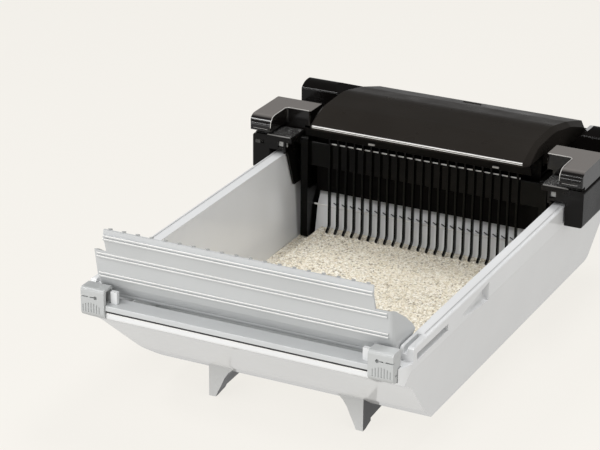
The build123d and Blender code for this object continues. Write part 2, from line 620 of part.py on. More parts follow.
def make_cap():
    """The right cap: an L seen from above, with a bullnose front, on a neck."""
    out = side_out
    profile = side(0.0, out, [
        (car + CAP_FRONT_C, CAP_UNDER_H, 2.0), (car + CAP_FRONT_C, CAP_TOP_H, CAP_NOSE_R),
        (car + CAP_BACK_C, CAP_TOP_H, 3.0), (car + CAP_BACK_C, CAP_UNDER_H)])
    plan_plane = Plane(origin=(0, front_y, RAIL_TOP))
    plan = extrude(face_on(plan_plane, [
        (out, car + CAP_FRONT_C - 1.0, 5.0), (out, car + CAP_BACK_C, 5.0),
        (out - CAP_REACH, car + CAP_BACK_C, 3.0), (out - CAP_REACH, car + CAP_STEP_C, 3.0),
        (out - CAP_W, car + CAP_STEP_C, 3.0), (out - CAP_W, car + CAP_FRONT_C - 1.0, 4.0)]),
        amount=CAP_TOP_H + 1.0)
    neck = block(out - CAP_W + CAP_NECK, out - 2.0, car + 8.0, car + CAP_BACK_C - 2.0,
                 DECK_TOP_H, CAP_UNDER_H)
    neck += block(housing_in, out - 2.0, car + CAP_STEP_C + 2.0, car + CAP_BACK_C - 2.0,
                  DECK_TOP_H, CAP_UNDER_H)
    return (profile & plan) + neck


def make_rear_block():
    """The right rear block: a domed hump whose flank slopes down to the hood."""
    out = side_out - BLOCK_INSET
    start, stop = LENGTH - BLOCK_DEPTH, LENGTH - BLOCK_BACK[0]
    top = BLOCK_CREST[1] + 2.0
    profile = side(0.0, out, [
        (start, DECK_TOP_H), (start, BLOCK_FRONT_H, 4.0), (start + BLOCK_CREST[0], BLOCK_CREST[1], 24.0),
        (stop, BLOCK_BACK[1], 3.0), (stop, DECK_TOP_H)])
    section = front(start, LENGTH, [
        (out, DECK_TOP_H), (out, top, 8.0), (out - BLOCK_TOP_W, top, 10.0),
        (out - BLOCK_REACH, DECK_TOP_H + 4.0), (out - BLOCK_REACH, DECK_TOP_H)])
    return profile & section


def hood_outline(wall, low):
    """The hood's side view, drawn in by wall, down to the height low."""
    crest = [(car + c, h - wall, r) for c, h, r in HOOD_CREST]
    return [(car + HOOD_LIP_C + wall, low), (car + HOOD_LIP_C + wall, HOOD_LIP_H + 6.0 - wall, 4.0), *crest,
            (hood_back - wall, HOOD_BACK_H - wall, 3.0), (hood_back - wall, low)]


def make_hood(door_room):
    flat = HOOD_HALF - HOOD_BEVEL
    outside = side(-flat, flat, hood_outline(0.0, DECK_TOP_H))
    ends = [face_on(side_plane(x), hood_outline(wall, DECK_TOP_H))
            for x, wall in ((flat, 0.0), (HOOD_HALF, HOOD_BEVEL))]
    outside += both(loft(ends, ruled=True))
    room = side(-flat, flat, hood_outline(HOOD_T, DECK_TOP_H - OVER))
    mouth = block(-HOOD_HALF - 1.0, HOOD_HALF + 1.0, car - 1.0, car + CHASSIS_FRONT_C - 8.0,
                  DECK_TOP_H - 1.0, HOOD_LIP_H)
    return outside - room - mouth - door_room


def make_fascia():
    c0, h0 = HOOD_LIP_C + 1.0, HOOD_LIP_H
    c1, h1 = FASCIA_LOW
    band = side(-lower_half, lower_half, [
        (car + c0, h0), (car + c1, h1, 1.5), (car + c1 + FASCIA_LIP, h1 - 1.5),
        (car + c1 + FASCIA_LIP, h1 + 1.0),
        (car + c1 + FASCIA_T, h1 + 2.0), (car + c0 + FASCIA_T, h0)])
    return band - make_windows()


def make_windows():
    pads = None
    for x in WINDOW_X:
        pad = block(x - WINDOW_W / 2, x + WINDOW_W / 2, car + HOOD_LIP_C + 1.0, car + HOOD_LIP_C + 7.0,
                    WINDOW_MID_H - WINDOW_H / 2, WINDOW_MID_H + WINDOW_H / 2)
        pads = pad if pads is None else pads + pad
    return pads


def make_chassis():
    """The frame plate that joins the end housings and carries the hood and the lower housing."""
    back = LENGTH - CHASSIS_BACK_GAP
    plate = block(-housing_in, housing_in, car + CHASSIS_FRONT_C, back, chassis_h, DECK_TOP_H)
    window = housing_in - CHASSIS_RIM
    opening = block(-window, window, car + CHASSIS_FRONT_C + 6.0, car + BATTERY_C - 6.0,
                    chassis_h - 1.0, DECK_TOP_H + 1.0)
    tray = battery_box(-0.1, chassis_h - 1.0, DECK_TOP_H + 1.0)
    plate = plate - opening - tray
    for x, d in screw_places():
        plate -= post(SCREW_R + 0.2, x, d, chassis_h - 1.0, DECK_TOP_H + 1.0)
    return plate


def screw_places():
    return [(sx * SCREW_X, d) for sx in (-1, 1)
            for d in (car + CHASSIS_FRONT_C + 4.5, car + LOWER_BACK_C - 5.5)]


def make_screws():
    group = None
    for x, d in screw_places():
        head = post(SCREW_HEAD_R, x, d, DECK_TOP_H, DECK_TOP_H + SCREW_HEAD_T)
        cross = block(x - 2.0, x + 2.0, d - 0.4, d + 0.4, DECK_TOP_H + 1.0, DECK_TOP_H + SCREW_HEAD_T + 1.0)
        screw = head + post(SCREW_R, x, d, DECK_TOP_H - SCREW_L, DECK_TOP_H) - cross
        group = screw if group is None else group + screw
    return group


def make_lower_housing():
    d0, d1 = car + LOWER_FRONT_C, car + LOWER_BACK_C
    tub = block(-lower_half, lower_half, d0, d1, lower_floor, chassis_h)
    tub += block(-lower_half, lower_half, d0, d0 + LOWER_T, chassis_h, LOWER_FRONT_TOP_H)
    tub -= block(-lower_half + LOWER_T, lower_half - LOWER_T, d0 + LOWER_T, d1 - LOWER_T,
                 lower_floor + LOWER_T, chassis_h + 1.0)
    for x, d in screw_places():
        tub += post(BOSS_R, x, d, lower_floor + LOWER_T, chassis_h)
        tub -= post(SCREW_R, x, d, DECK_TOP_H - SCREW_L, chassis_h + 1.0)
    for x, d in board_corners():
        tub += post(BOARD_POST_R, x, d, lower_floor + LOWER_T, lower_floor + LOWER_T + BOARD_POST)
    return tub - both(rod(BUSH_R, lower_half - 2 * LOWER_T, lower_half + 1.0, drive_d, wheel_h))


# ---- inside the carriage -------------------------------------------------------------------------
def board_corners():
    dx, dd = BOARD[0] / 2 - 5.0, BOARD[1] / 2 - 5.0
    return [(board_x + sx * dx, car + BOARD_C + sd * dd) for sx in (-1, 1) for sd in (-1, 1)]


def make_board():
    h = lower_floor + LOWER_T + BOARD_POST
    d = car + BOARD_C
    board = block(board_x - BOARD[0] / 2, board_x + BOARD[0] / 2, d - BOARD[1] / 2, d + BOARD[1] / 2,
                  h, h + BOARD[2])
    chip = block(board_x - 12.0, board_x + 12.0, d - 6.0, d + 6.0, h + BOARD[2], h + BOARD[2] + 3.0)
    relay = block(board_x + 14.0, board_x + 30.0, d + 12.0, d + 24.0, h + BOARD[2], h + BOARD[2] + 9.0)
    return board + chip + relay


def involute(radius, base):
    angle = math.acos(base / radius)
    return math.tan(angle) - angle


def gear(teeth, turned, x, d, bore):
    """A spur gear with involute flanks, turned by a fraction of one tooth."""
    pitch_r = MODULE * teeth / 2
    base = pitch_r * math.cos(PRESSURE_ANGLE)
    tip = pitch_r + TOOTH_TALLNESS * MODULE
    root = pitch_r - (TOOTH_TALLNESS + 0.25) * MODULE
    half_pitch = math.pi / (2 * teeth) - TOOTH_BACKLASH / (2 * pitch_r)
    start = max(base, root) + 0.01
    flank = []
    for i in range(5):
        radius = start + (tip - start) * i / 4
        flank.append((radius, half_pitch + involute(pitch_r, base) - involute(radius, base)))
    points = []
    for tooth in range(teeth):
        middle = 2 * math.pi * (tooth + turned) / teeth
        rise = [(root, -flank[0][1])] + [(r, -a) for r, a in flank]
        fall = [(r, a) for r, a in reversed(flank)] + [(root, flank[0][1])]
        points += [(r * math.cos(middle + a), r * math.sin(middle + a)) for r, a in rise + fall]
    plane = Plane(origin=(x - GEAR_W / 2, front_y + d, RAIL_TOP + wheel_h), x_dir=(0, 1, 0), z_dir=(1, 0, 0))
    face = plane * make_face(Polyline(*points, close=True))
    return extrude(face, amount=GEAR_W) - rod(bore, x - GEAR_W, x + GEAR_W, d, wheel_h)


def make_gearmotor():
    near = GEAR_X + GEAR_W / 2 + 1.0
    body = rod(MOTOR_R, near + 4.0, near + 4.0 + MOTOR_L, motor_d, wheel_h)
    plate = rod(MOTOR_R - 2.0, near, near + 4.0, motor_d, wheel_h)
    tail = rod(MOTOR_R / 3, near + MOTOR_L, near + MOTOR_L + 9.0, motor_d, wheel_h)
    shaft = rod(MOTOR_SHAFT_R, near - GEAR_W - 2.0, near, motor_d, wheel_h)
    return body + plate + tail + shaft


def make_motor_bracket():
    x0 = GEAR_X + GEAR_W / 2 + 6.0
    cradle = block(x0, x0 + BRACKET_W, motor_d - BRACKET_DEPTH / 2, motor_d + BRACKET_DEPTH / 2,
                   lower_floor + LOWER_T, wheel_h - MOTOR_R / 2)
    lighten = block(x0 + 6.0, x0 + BRACKET_W - 6.0, motor_d - BRACKET_DEPTH, motor_d + BRACKET_DEPTH,
                    lower_floor + LOWER_T + 5.0, wheel_h - MOTOR_R - 6.0)
    return cradle - lighten - rod(MOTOR_R + MOTOR_FIT, x0 - 1.0, x0 + BRACKET_W + 1.0, motor_d, wheel_h)


def make_wheel(d, bore, radius_in, radius_out):
    ring = rod(radius_out, wheel_x - WHEEL_W / 2, wheel_x + WHEEL_W / 2, d, wheel_h)
    return ring - rod(radius_in if radius_in else bore, 0.0, side_out, d, wheel_h)


def make_battery_parts():
    tray = battery_box(0.0, tray_floor(), DECK_TOP_H)
    tray += battery_box(-BATTERY_FLANGE, DECK_TOP_H, DECK_TOP_H + TRAY_T)
    tray -= battery_box(TRAY_T, tray_floor() + TRAY_T, DECK_TOP_H + OVER)
    cells = None
    for row in range(2):
        for layer in range(2):
            for column in (-1, 1):
                d = car + BATTERY_C + TRAY_T + CELL_R + CELL_GAP + row * (2 * CELL_R + CELL_GAP)
                h = tray_floor() + TRAY_T + CELL_R + layer * (2 * CELL_R + CELL_GAP)
                x = column * (CELL_L + 2.5) / 2
                cell = rod(CELL_R, x - CELL_L / 2, x + CELL_L / 2, d, h)
                cell += rod(2.7, x + CELL_L / 2, x + CELL_L / 2 + 1.0, d, h)
                cells = cell if cells is None else cells + cell
    return tray, cells


def tray_floor():
    return DECK_TOP_H - 2 * (2 * CELL_R + CELL_GAP) - TRAY_T


def battery_box(inset, h0, h1):
    """The battery tray's outline, drawn in by inset, or out where inset is negative."""
    half = CELL_L + 4.0 + TRAY_T - inset
    depth = 2 * (2 * CELL_R + CELL_GAP) + CELL_GAP + 2 * TRAY_T
    return block(-half, half, car + BATTERY_C + inset, car + BATTERY_C + depth - inset, h0, h1)


def slope_point(along, below):
    """A point on the hood's rear slope: distance down the slope, and depth under its surface."""
    c0, h0, _ = HOOD_CREST[-1]
    run, fall = hood_back - (car + c0), h0 - HOOD_BACK_H
    length = math.hypot(run, fall)
    ux, uy = run / length, -fall / length
    return (car + c0 + ux * along + uy * below, h0 + uy * along - ux * below)


def door_half():
    return CELL_L + 6.0


def make_door():
    half = door_half()
    start, stop = DOOR_START + DOOR_KNUCKLE_R, DOOR_START + DOOR_LENGTH
    plate = side(-half, half, [slope_point(start, 0.0), slope_point(stop, 0.0), slope_point(stop, HOOD_T),
                               slope_point(start, HOOD_T)])
    hinge = slope_point(start, DOOR_KNUCKLE_R)
    plate += rod(DOOR_KNUCKLE_R, -half, half, *hinge)
    grip = side(-12.0, 12.0, [slope_point(stop - 7.0, -0.9), slope_point(stop - 4.0, -0.9),
                              slope_point(stop - 4.0, 0.5), slope_point(stop - 7.0, 0.5)])
    return plate + grip - rod(DOOR_PIN_R + PIN_FIT, -half - 1.0, half + 1.0, *hinge)


def door_opening():
    half = door_half() + DOOR_GAP
    start, stop = DOOR_START + DOOR_KNUCKLE_R, DOOR_START + DOOR_LENGTH + DOOR_GAP
    hole = side(-half, half, [slope_point(start, -OVER), slope_point(stop, -OVER),
                              slope_point(stop, HOOD_T * 3), slope_point(start, HOOD_T * 3)])
    return hole + rod(DOOR_KNUCKLE_R + DOOR_GAP, -half, half, *slope_point(start, DOOR_KNUCKLE_R))


def door_pin():
    half = door_half() + 6.0
    return rod(DOOR_PIN_R, -half, half, *slope_point(DOOR_START + DOOR_KNUCKLE_R, DOOR_KNUCKLE_R))


def make_jack():
    barrel = rod_back(JACK_R, jack_x, LENGTH - JACK_L, LENGTH, JACK_H)
    return barrel - rod_back(JACK_BORE_R, jack_x, LENGTH - JACK_BORE_L, LENGTH + 1.0, JACK_H)


# ---- rake ----------------------------------------------------------------------------------
def make_arm():
    front_d, back_d = car + ARM_FRONT_C, car + ARM_FRONT_C + ARM_DEPTH
    arm = side(arm_in, arm_out, [
        (front_d, arm_bottom, 4.0), (front_d, ARM_TOP_H, 3.0), (back_d, ARM_TOP_H, 8.0),
        (back_d, arm_bottom, 10.0)])
    return arm - rod(RAKE_PIN_R + PIN_FIT, arm_in - 1.0, arm_out + 1.0, pivot_d, PIVOT_H)


def make_comb():
    """A plate between the arms, with straight tines in front of it whose tips curl forward."""
    c0, c1, low, high = BAR
    bar = side(-arm_in, arm_in, [
        (car + c0, low), (car + c0, high, 2.0), (car + c1, high, 2.0), (car + c1, low)])
    front_d, back_d = car + TINE_C[0], car + TINE_C[1]
    reach, rise = TINE_CURL
    tip_d = back_d - reach
    tine = [(front_d, TINE_TOP_H, 1.0), (back_d, TINE_TOP_H, 1.0), (back_d, tip_h + rise, rise),
            (tip_d, tip_h, 0.6), (tip_d - TINE_TIP[0], tip_h + TINE_TIP[1], 0.6),
            (front_d, tip_h + rise + TINE_TIP[0], rise)]
    first = side(-TINE_T / 2, TINE_T / 2, tine)
    places = [(i - (TINE_COUNT - 1) / 2) * tine_pitch for i in range(TINE_COUNT)]
    return bar.fuse(*[Pos(x, 0, 0) * first for x in places])


# ---- every node ------------------------------------------------------------------------------
def make_nodes():
    hull = pan_outside()
    front_foot = make_foot(FRONT_FOOT_D, FRONT_FOOT_BACK, hull)
    rear_foot_post = make_foot(REAR_FOOT_D, REAR_FOOT_BACK, hull)
    housing = make_end_housing()
    cap, rear_block, arm, catch = make_cap(), make_rear_block(), make_arm(), make_catch()
    battery_tray, battery_cells = make_battery_parts()
    jack_hole = rod_back(JACK_R, jack_x, LENGTH - JACK_L, LENGTH + 1.0, JACK_H)
    pin = door_pin()
    drive_hub = make_wheel(drive_d, SHAFT_R, 0.0, WHEEL_R - TYRE_T)
    drive_tyre = make_wheel(drive_d, 0.0, WHEEL_R - TYRE_T, WHEEL_R)
    idler = make_wheel(idler_d, IDLER_AXLE_R + PIN_FIT, 0.0, WHEEL_R)
    bush = rod(BUSH_R, housing_in, flange_out, drive_d, wheel_h)
    bush -= rod(SHAFT_R + PIN_FIT, 0.0, side_out, drive_d, wheel_h)
    shaft_end = wheel_x + WHEEL_W / 2 + 1.0
    nodes = {
        "pan": make_pan(),
        "front_trim": make_trim(),
        "front_left_foot": other_side(front_foot),
        "front_right_foot": front_foot,
        "rear_left_foot": other_side(rear_foot_post),
        "rear_right_foot": rear_foot_post,
        "litter_bed": make_litter(),
        "lid_hinge_pins": both(rod(HINGE_PIN_R, lid_half - HINGE_PIN_REACH + 1.0,
                                   rail_in + HINGE_PIN_HOLD, HINGE_D, HINGE_H)),
        "catch_pins": both(rod(CATCH_PIN_R, catch_in - 8.0, catch_out - 1.0, *catch_pin)),
        "lid": make_lid(),
        "left_catch": other_side(catch),
        "right_catch": catch,
        "waste_tray": make_waste_tray(),
        "left_end_housing": other_side(housing) - switch_slot(),
        "right_end_housing": housing - jack_hole,
        "left_cap": other_side(cap),
        "right_cap": cap,
        "left_rear_block": other_side(rear_block),
        "right_rear_block": rear_block,
        "chassis": make_chassis(),
        "hood": make_hood(door_opening() + pin),
        "front_fascia": make_fascia(),
        "sensor_windows": make_windows(),
        "lower_housing": make_lower_housing(),
        "battery_tray": battery_tray,
        "battery_cells": battery_cells,
        "battery_door": make_door(),
        "battery_door_pin": pin,
        "circuit_board": make_board(),
        "gearmotor": make_gearmotor(),
        "motor_bracket": make_motor_bracket(),
        "motor_pinion": gear(PINION_TEETH, 0.5, GEAR_X, motor_d, MOTOR_SHAFT_R + PIN_FIT),
        "spur_gear": gear(GEAR_TEETH, 0.0, GEAR_X, drive_d, SHAFT_R),
        "cross_shaft": rod(SHAFT_R, -shaft_end, shaft_end, drive_d, wheel_h),
        "shaft_bushes": both(bush),
        "drive_hubs": both(drive_hub),
        "drive_tyres": both(drive_tyre),
        "left_idler": other_side(idler),
        "right_idler": idler,
        "idler_axles": both(rod(IDLER_AXLE_R, housing_in + 2.0, skirt_in + HOUSING_WALL, idler_d, wheel_h)),
        "power_switch": make_switch(),
        "dc_inlet": make_jack(),
        "screws": make_screws(),
        "rake_pins": both(rod(RAKE_PIN_R, arm_in + 1.0, flange_out, pivot_d, PIVOT_H)),
        "left_rake_arm": other_side(arm),
        "right_rake_arm": arm,
        "rake_comb": make_comb(),
    }
    return nodes


os.makedirs("parts", exist_ok=True)
for name, shape in make_nodes().items():
    export_step(shape, f"parts/{name}.step")
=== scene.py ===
import math

import bpy
import numpy as np
from mathutils import Matrix, Vector


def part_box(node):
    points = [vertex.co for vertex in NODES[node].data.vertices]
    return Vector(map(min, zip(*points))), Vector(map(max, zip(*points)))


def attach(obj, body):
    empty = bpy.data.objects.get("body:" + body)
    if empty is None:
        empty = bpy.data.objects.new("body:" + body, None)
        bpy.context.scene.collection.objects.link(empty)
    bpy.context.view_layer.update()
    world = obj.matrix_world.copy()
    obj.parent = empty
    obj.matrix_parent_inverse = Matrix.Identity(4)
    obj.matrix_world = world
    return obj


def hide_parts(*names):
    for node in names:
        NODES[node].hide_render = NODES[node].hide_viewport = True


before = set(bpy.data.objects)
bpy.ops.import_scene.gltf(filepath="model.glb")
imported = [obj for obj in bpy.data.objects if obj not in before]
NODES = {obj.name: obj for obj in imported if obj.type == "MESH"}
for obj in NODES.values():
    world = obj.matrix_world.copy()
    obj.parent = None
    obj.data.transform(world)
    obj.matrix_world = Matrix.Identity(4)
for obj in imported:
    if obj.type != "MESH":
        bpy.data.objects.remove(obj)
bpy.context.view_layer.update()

# ---- where things are, in metres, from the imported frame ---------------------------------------
RAIL_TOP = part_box("pan")[1].z
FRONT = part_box("left_catch")[0].y - 0.0003
BACKGROUND = (245, 242, 236)      # sRGB
SEED = 11
SIDES = ((-1.0, "left"), (1.0, "right"))


def paint(rgb):
    """An sRGB colour in 0..255 as a colour socket takes it: linear light, and 1 for opacity."""
    c = np.asarray(rgb, float) / 255.0
    out = np.where(c <= 0.04045, c / 12.92, ((c + 0.055) / 1.055) ** 2.4)
    return (*(float(v) for v in out), 1.0)


# ---- shader helpers ------------------------------------------------------------------------------
def feed(tree, socket, value):
    """Gives a socket a plain value, or links another node's output to it."""
    if isinstance(value, (int, float, tuple)):
        socket.default_value = value
    else:
        tree.links.new(value, socket)


def noise(tree, vector, scale, detail=4.0, rough=0.55):
    node = tree.nodes.new("ShaderNodeTexNoise")
    feed(tree, node.inputs["Scale"], scale)
    feed(tree, node.inputs["Detail"], detail)
    feed(tree, node.inputs["Roughness"], rough)
    tree.links.new(vector, node.inputs["Vector"])
    return node.outputs["Fac"]


def remap(tree, value, low, high, to_low, to_high):
    node = tree.nodes.new("ShaderNodeMapRange")
    for label, number in (("From Min", low), ("From Max", high), ("To Min", to_low), ("To Max", to_high)):
        node.inputs[label].default_value = number
    tree.links.new(value, node.inputs["Value"])
    return node.outputs["Result"]


def arithmetic(tree, operation, a, b):
    node = tree.nodes.new("ShaderNodeMath")
    node.operation = operation
    feed(tree, node.inputs[0], a)
    feed(tree, node.inputs[1], b)
    return node.outputs["Value"]


def blend_colour(tree, amount, a, b):
    node = tree.nodes.new("ShaderNodeMix")
    node.data_type = "RGBA"
    feed(tree, node.inputs["Factor"], amount)
    feed(tree, node.inputs[6], a)
    feed(tree, node.inputs[7], b)
    return node.outputs[2]


def mix_shaders(tree, amount, a, b):
    node = tree.nodes.new("ShaderNodeMixShader")
    feed(tree, node.inputs["Fac"], amount)
    tree.links.new(a, node.inputs[1])
    tree.links.new(b, node.inputs[2])
    return node.outputs["Shader"]


def object_place(tree):
    return tree.nodes.new("ShaderNodeTexCoord").outputs["Object"]


def stretched(tree, scale):
    """Object coordinates scaled along each axis, so that a pattern read from them is drawn out."""
    node = tree.nodes.new("ShaderNodeMapping")
    node.inputs["Scale"].default_value = scale
    tree.links.new(object_place(tree), node.inputs["Vector"])
    return node.outputs["Vector"]


def normal_parts(tree):
    """The X, Y and Z of the surface's direction, as the outputs of one node."""
    split = tree.nodes.new("ShaderNodeSeparateXYZ")
    tree.links.new(tree.nodes.new("ShaderNodeNewGeometry").outputs["Normal"], split.inputs["Vector"])
    return split.outputs


def new_material(name):
    """A material with its node tree and its Principled shader."""
    material = bpy.data.materials.new(name)
    material.use_nodes = True
    return material, material.node_tree, material.node_tree.nodes["Principled BSDF"]


def add_bump(tree, shader, height, strength, depth, invert=False):
    node = tree.nodes.new("ShaderNodeBump")
    node.inputs["Strength"].default_value = strength
    node.inputs["Distance"].default_value = depth
    node.invert = invert
    tree.links.new(height, node.inputs["Height"])
    tree.links.new(node.outputs["Normal"], shader.inputs["Normal"])


# ---- camera, lamps, floor ---------------------------------------------------------------------
CAMERA_AZIMUTH = math.radians(26.415)
CAMERA_ELEVATION = math.radians(22.671)
CAMERA_ROLL = math.radians(0.454)
CAMERA_PLACE = (1.0715, -2.3375, 1.2227)
CAMERA_LENS, CAMERA_SENSOR = 142.0, 36.0


def make_camera():
    """The camera looks along -back; right is level and then both turn by the roll."""
    ca, sa = math.cos(CAMERA_AZIMUTH), math.sin(CAMERA_AZIMUTH)
    ce, se = math.cos(CAMERA_ELEVATION), math.sin(CAMERA_ELEVATION)
    back = Vector((sa * ce, -ca * ce, se))
    right = Vector((ca, sa, 0.0))
    up = back.cross(right)
    cr, sr = math.cos(CAMERA_ROLL), math.sin(CAMERA_ROLL)
    turned_right = right * cr + up * sr
    turned_up = up * cr - right * sr
    data = bpy.data.cameras.new("camera")
    data.lens = CAMERA_LENS
    data.sensor_width = CAMERA_SENSOR
    data.clip_end = 50.0
    camera = bpy.data.objects.new("camera", data)
    bpy.context.scene.collection.objects.link(camera)
    camera.matrix_world = Matrix((
        (turned_right.x, turned_up.x, back.x, CAMERA_PLACE[0]),
        (turned_right.y, turned_up.y, back.y, CAMERA_PLACE[1]),
        (turned_right.z, turned_up.z, back.z, CAMERA_PLACE[2]),
        (0.0, 0.0, 0.0, 1.0)))
    bpy.context.scene.camera = camera


def add_softbox(name, place, target, size, watts):
    """A rectangular lamp at place that looks at target."""
    data = bpy.data.lights.new(name, "AREA")
    data.shape = "RECTANGLE"
    data.size, data.size_y = size
    data.energy = watts
    lamp = bpy.data.objects.new(name, data)
    bpy.context.scene.collection.objects.link(lamp)
    lamp.location = place
    aim = Vector(target) - Vector(place)
    lamp.rotation_euler = aim.to_track_quat("-Z", "Y").to_euler()


WORLD_FILL = 0.46
WORLD_IN_REFLECTIONS = 0.10
WORLD_TINT = (1.0, 0.995, 0.985, 1.0)
FLOOR_HALF = 8.0
FLOOR_TINT = (0.86, 0.84, 0.80, 1.0)
FLOOR_GLOW = (0.85, 0.88)     # share of plain glow in the floor: for bounced light, and as seen
FLOOR_IN_REFLECTIONS = 0.55
SOFTBOXES = [                 # name, place, target, size, watts
    ("key_softbox", (-1.25, -1.45, 2.35), (0.0, 0.0, 0.1), (1.1, 0.3), 22.0),
    ("top_softbox", (0.5, 0.6, 2.5), (0.0, 0.1, 0.1), (1.2, 0.5), 24.0),
    ("front_softbox", (0.25, -2.2, 1.85), (0.0, 0.1, 0.0), (0.8, 0.5), 17.0),
    ("low_strip", (-1.05, -2.3, 0.80), (0.0, -0.1, 0.15), (1.7, 0.12), 8.0),
    ("bow_softbox", (-0.5, -2.2, 0.16), (0.0, -0.3, 0.08), (1.8, 0.2), 4.0),
    ("side_softbox", (2.2, -1.0, 1.1), (0.1, 0.0, 0.1), (0.9, 0.9), 8.0),
]


def make_world():
    """A pale world: the background's own colour where the camera sees it, and a fill that is weaker
    in reflections for everything else."""
    world = bpy.data.worlds.new("studio")
    bpy.context.scene.world = world
    world.use_nodes = True
    tree = world.node_tree
    tree.nodes.clear()
    output = tree.nodes.new("ShaderNodeOutputWorld")
    seen = tree.nodes.new("ShaderNodeBackground")
    fill = tree.nodes.new("ShaderNodeBackground")
    path = tree.nodes.new("ShaderNodeLightPath")
    seen.inputs["Color"].default_value = paint(BACKGROUND)
    seen.inputs["Strength"].default_value = 1.0
    fill.inputs["Color"].default_value = WORLD_TINT
    strength = remap(tree, path.outputs["Is Glossy Ray"], 0.0, 1.0, WORLD_FILL, WORLD_IN_REFLECTIONS)
    tree.links.new(strength, fill.inputs["Strength"])
    mixed = mix_shaders(tree, path.outputs["Is Camera Ray"], fill.outputs["Background"],
                        seen.outputs["Background"])
    tree.links.new(mixed, output.inputs["Surface"])


def make_floor_material():
    """Mostly glow in the background's colour, so the floor melts into it, with some matt paint that
    takes the soft shadow. Reflections see a dimmer, plain floor."""
    material = bpy.data.materials.new("studio_floor")
    material.use_nodes = True
    tree = material.node_tree
    tree.nodes.clear()
    output = tree.nodes.new("ShaderNodeOutputMaterial")
    matt = tree.nodes.new("ShaderNodeBsdfDiffuse")
    glow = tree.nodes.new("ShaderNodeEmission")
    dim = tree.nodes.new("ShaderNodeEmission")
    path = tree.nodes.new("ShaderNodeLightPath")
    matt.inputs["Color"].default_value = FLOOR_TINT
    glow.inputs["Color"].default_value = paint(BACKGROUND)
    dim.inputs["Strength"].default_value = FLOOR_IN_REFLECTIONS
    share = remap(tree, path.outputs["Is Camera Ray"], 0.0, 1.0, *FLOOR_GLOW)
    floor = mix_shaders(tree, share, matt.outputs["BSDF"], glow.outputs["Emission"])
    mixed = mix_shaders(tree, path.outputs["Is Glossy Ray"], floor, dim.outputs["Emission"])
    tree.links.new(mixed, output.inputs["Surface"])
    return material


def make_floor():
    """A square at z = 0, which belongs to the studio and not to the object."""
    half = FLOOR_HALF
    mesh = bpy.data.meshes.new("floor")
    mesh.from_pydata([(-half, -half, 0), (half, -half, 0), (half, half, 0), (-half, half, 0)], [],
                     [(0, 1, 2, 3)])
    mesh.materials.append(make_floor_material())
    floor = bpy.data.objects.new("floor", mesh)
    bpy.context.scene.collection.objects.link(floor)


def make_studio():
    """World, lamps and floor."""
    make_world()
    for softbox in SOFTBOXES:
        add_softbox(*softbox)
    make_floor()


# ---- shared shader groups ------------------------------------------------------------------------
def new_group(name, inputs, outputs):
    """A shader node group with named sockets; each input is (name, type, value)."""
    group = bpy.data.node_groups.new(name, "ShaderNodeTree")
    for label, kind, value in inputs:
        socket = group.interface.new_socket(label, in_out="INPUT", socket_type=kind)
        socket.default_value = value
    for label, kind in outputs:
        group.interface.new_socket(label, in_out="OUTPUT", socket_type=kind)
    return group, group.nodes.new("NodeGroupInput"), group.nodes.new("NodeGroupOutput")


FLOAT, COLOUR = "NodeSocketFloat", "NodeSocketColor"


def make_skin_group():
    """Moulded plastic: faint cloudy colour, pebbled grain, and roughness that drifts over the surface."""
    group, entry, leave = new_group("moulded_skin", [
        ("Colour", COLOUR, (0.8, 0.8, 0.8, 1.0)), ("Shade", COLOUR, (0.7, 0.7, 0.7, 1.0)),
        ("Cloud Scale", FLOAT, 9.0), ("Grain Scale", FLOAT, 900.0), ("Roughness", FLOAT, 0.4)],
        [("Colour", COLOUR), ("Roughness", FLOAT), ("Height", FLOAT)])
    place = object_place(group)
    clouds = noise(group, place, entry.outputs["Cloud Scale"], 5.0, 0.5)
    grain = noise(group, place, entry.outputs["Grain Scale"], 2.0, 0.5)
    cloud = remap(group, clouds, 0.35, 0.65, 0.0, 1.0)
    colour = blend_colour(group, cloud, entry.outputs["Colour"], entry.outputs["Shade"])
    drift = remap(group, noise(group, place, 23.0), 0.3, 0.7, -0.05, 0.06)
    group.links.new(colour, leave.inputs["Colour"])
    group.links.new(arithmetic(group, "ADD", entry.outputs["Roughness"], drift), leave.inputs["Roughness"])
    group.links.new(grain, leave.inputs["Height"])
    return group


def make_scuff_group():
    """Long fine rubs, drawn out across the object, and a little settled dust on faces that look up."""
    group, entry, leave = new_group("scuffs_and_dust", [
        ("Colour", COLOUR, (0.8, 0.8, 0.8, 1.0)), ("Dust", COLOUR, (0.7, 0.68, 0.62, 1.0)),
        ("Rub Scale", FLOAT, 60.0), ("Rub Amount", FLOAT, 0.1), ("Dust Amount", FLOAT, 0.05)],
        [("Colour", COLOUR), ("Rub", FLOAT)])
    rub = noise(group, stretched(group, (0.12, 1.0, 1.0)), entry.outputs["Rub Scale"], 6.0, 0.7)
    mask = remap(group, rub, 0.58, 0.70, 0.0, 1.0)
    amount = arithmetic(group, "MULTIPLY", mask, entry.outputs["Rub Amount"])
    upward = remap(group, normal_parts(group)["Z"], 0.6, 1.0, 0.0, 1.0)
    patches = remap(group, noise(group, object_place(group), 35.0), 0.4, 0.7, 0.3, 1.0)
    settled = arithmetic(group, "MULTIPLY", upward, patches)
    dust = arithmetic(group, "MULTIPLY", settled, entry.outputs["Dust Amount"])
    rubbed = blend_colour(group, amount, entry.outputs["Colour"], entry.outputs["Dust"])
    group.links.new(blend_colour(group, dust, rubbed, entry.outputs["Dust"]), leave.inputs["Colour"])
    group.links.new(amount, leave.inputs["Rub"])
    return group


SKIN = make_skin_group()
SCUFFS = make_scuff_group()
COAT_ROUGHNESS = 0.12
GRAIN_DEPTH = 0.001           # metres, of the bump in plastic and on the deck pads
LITTER_GRAIN_DEPTH = 0.0016


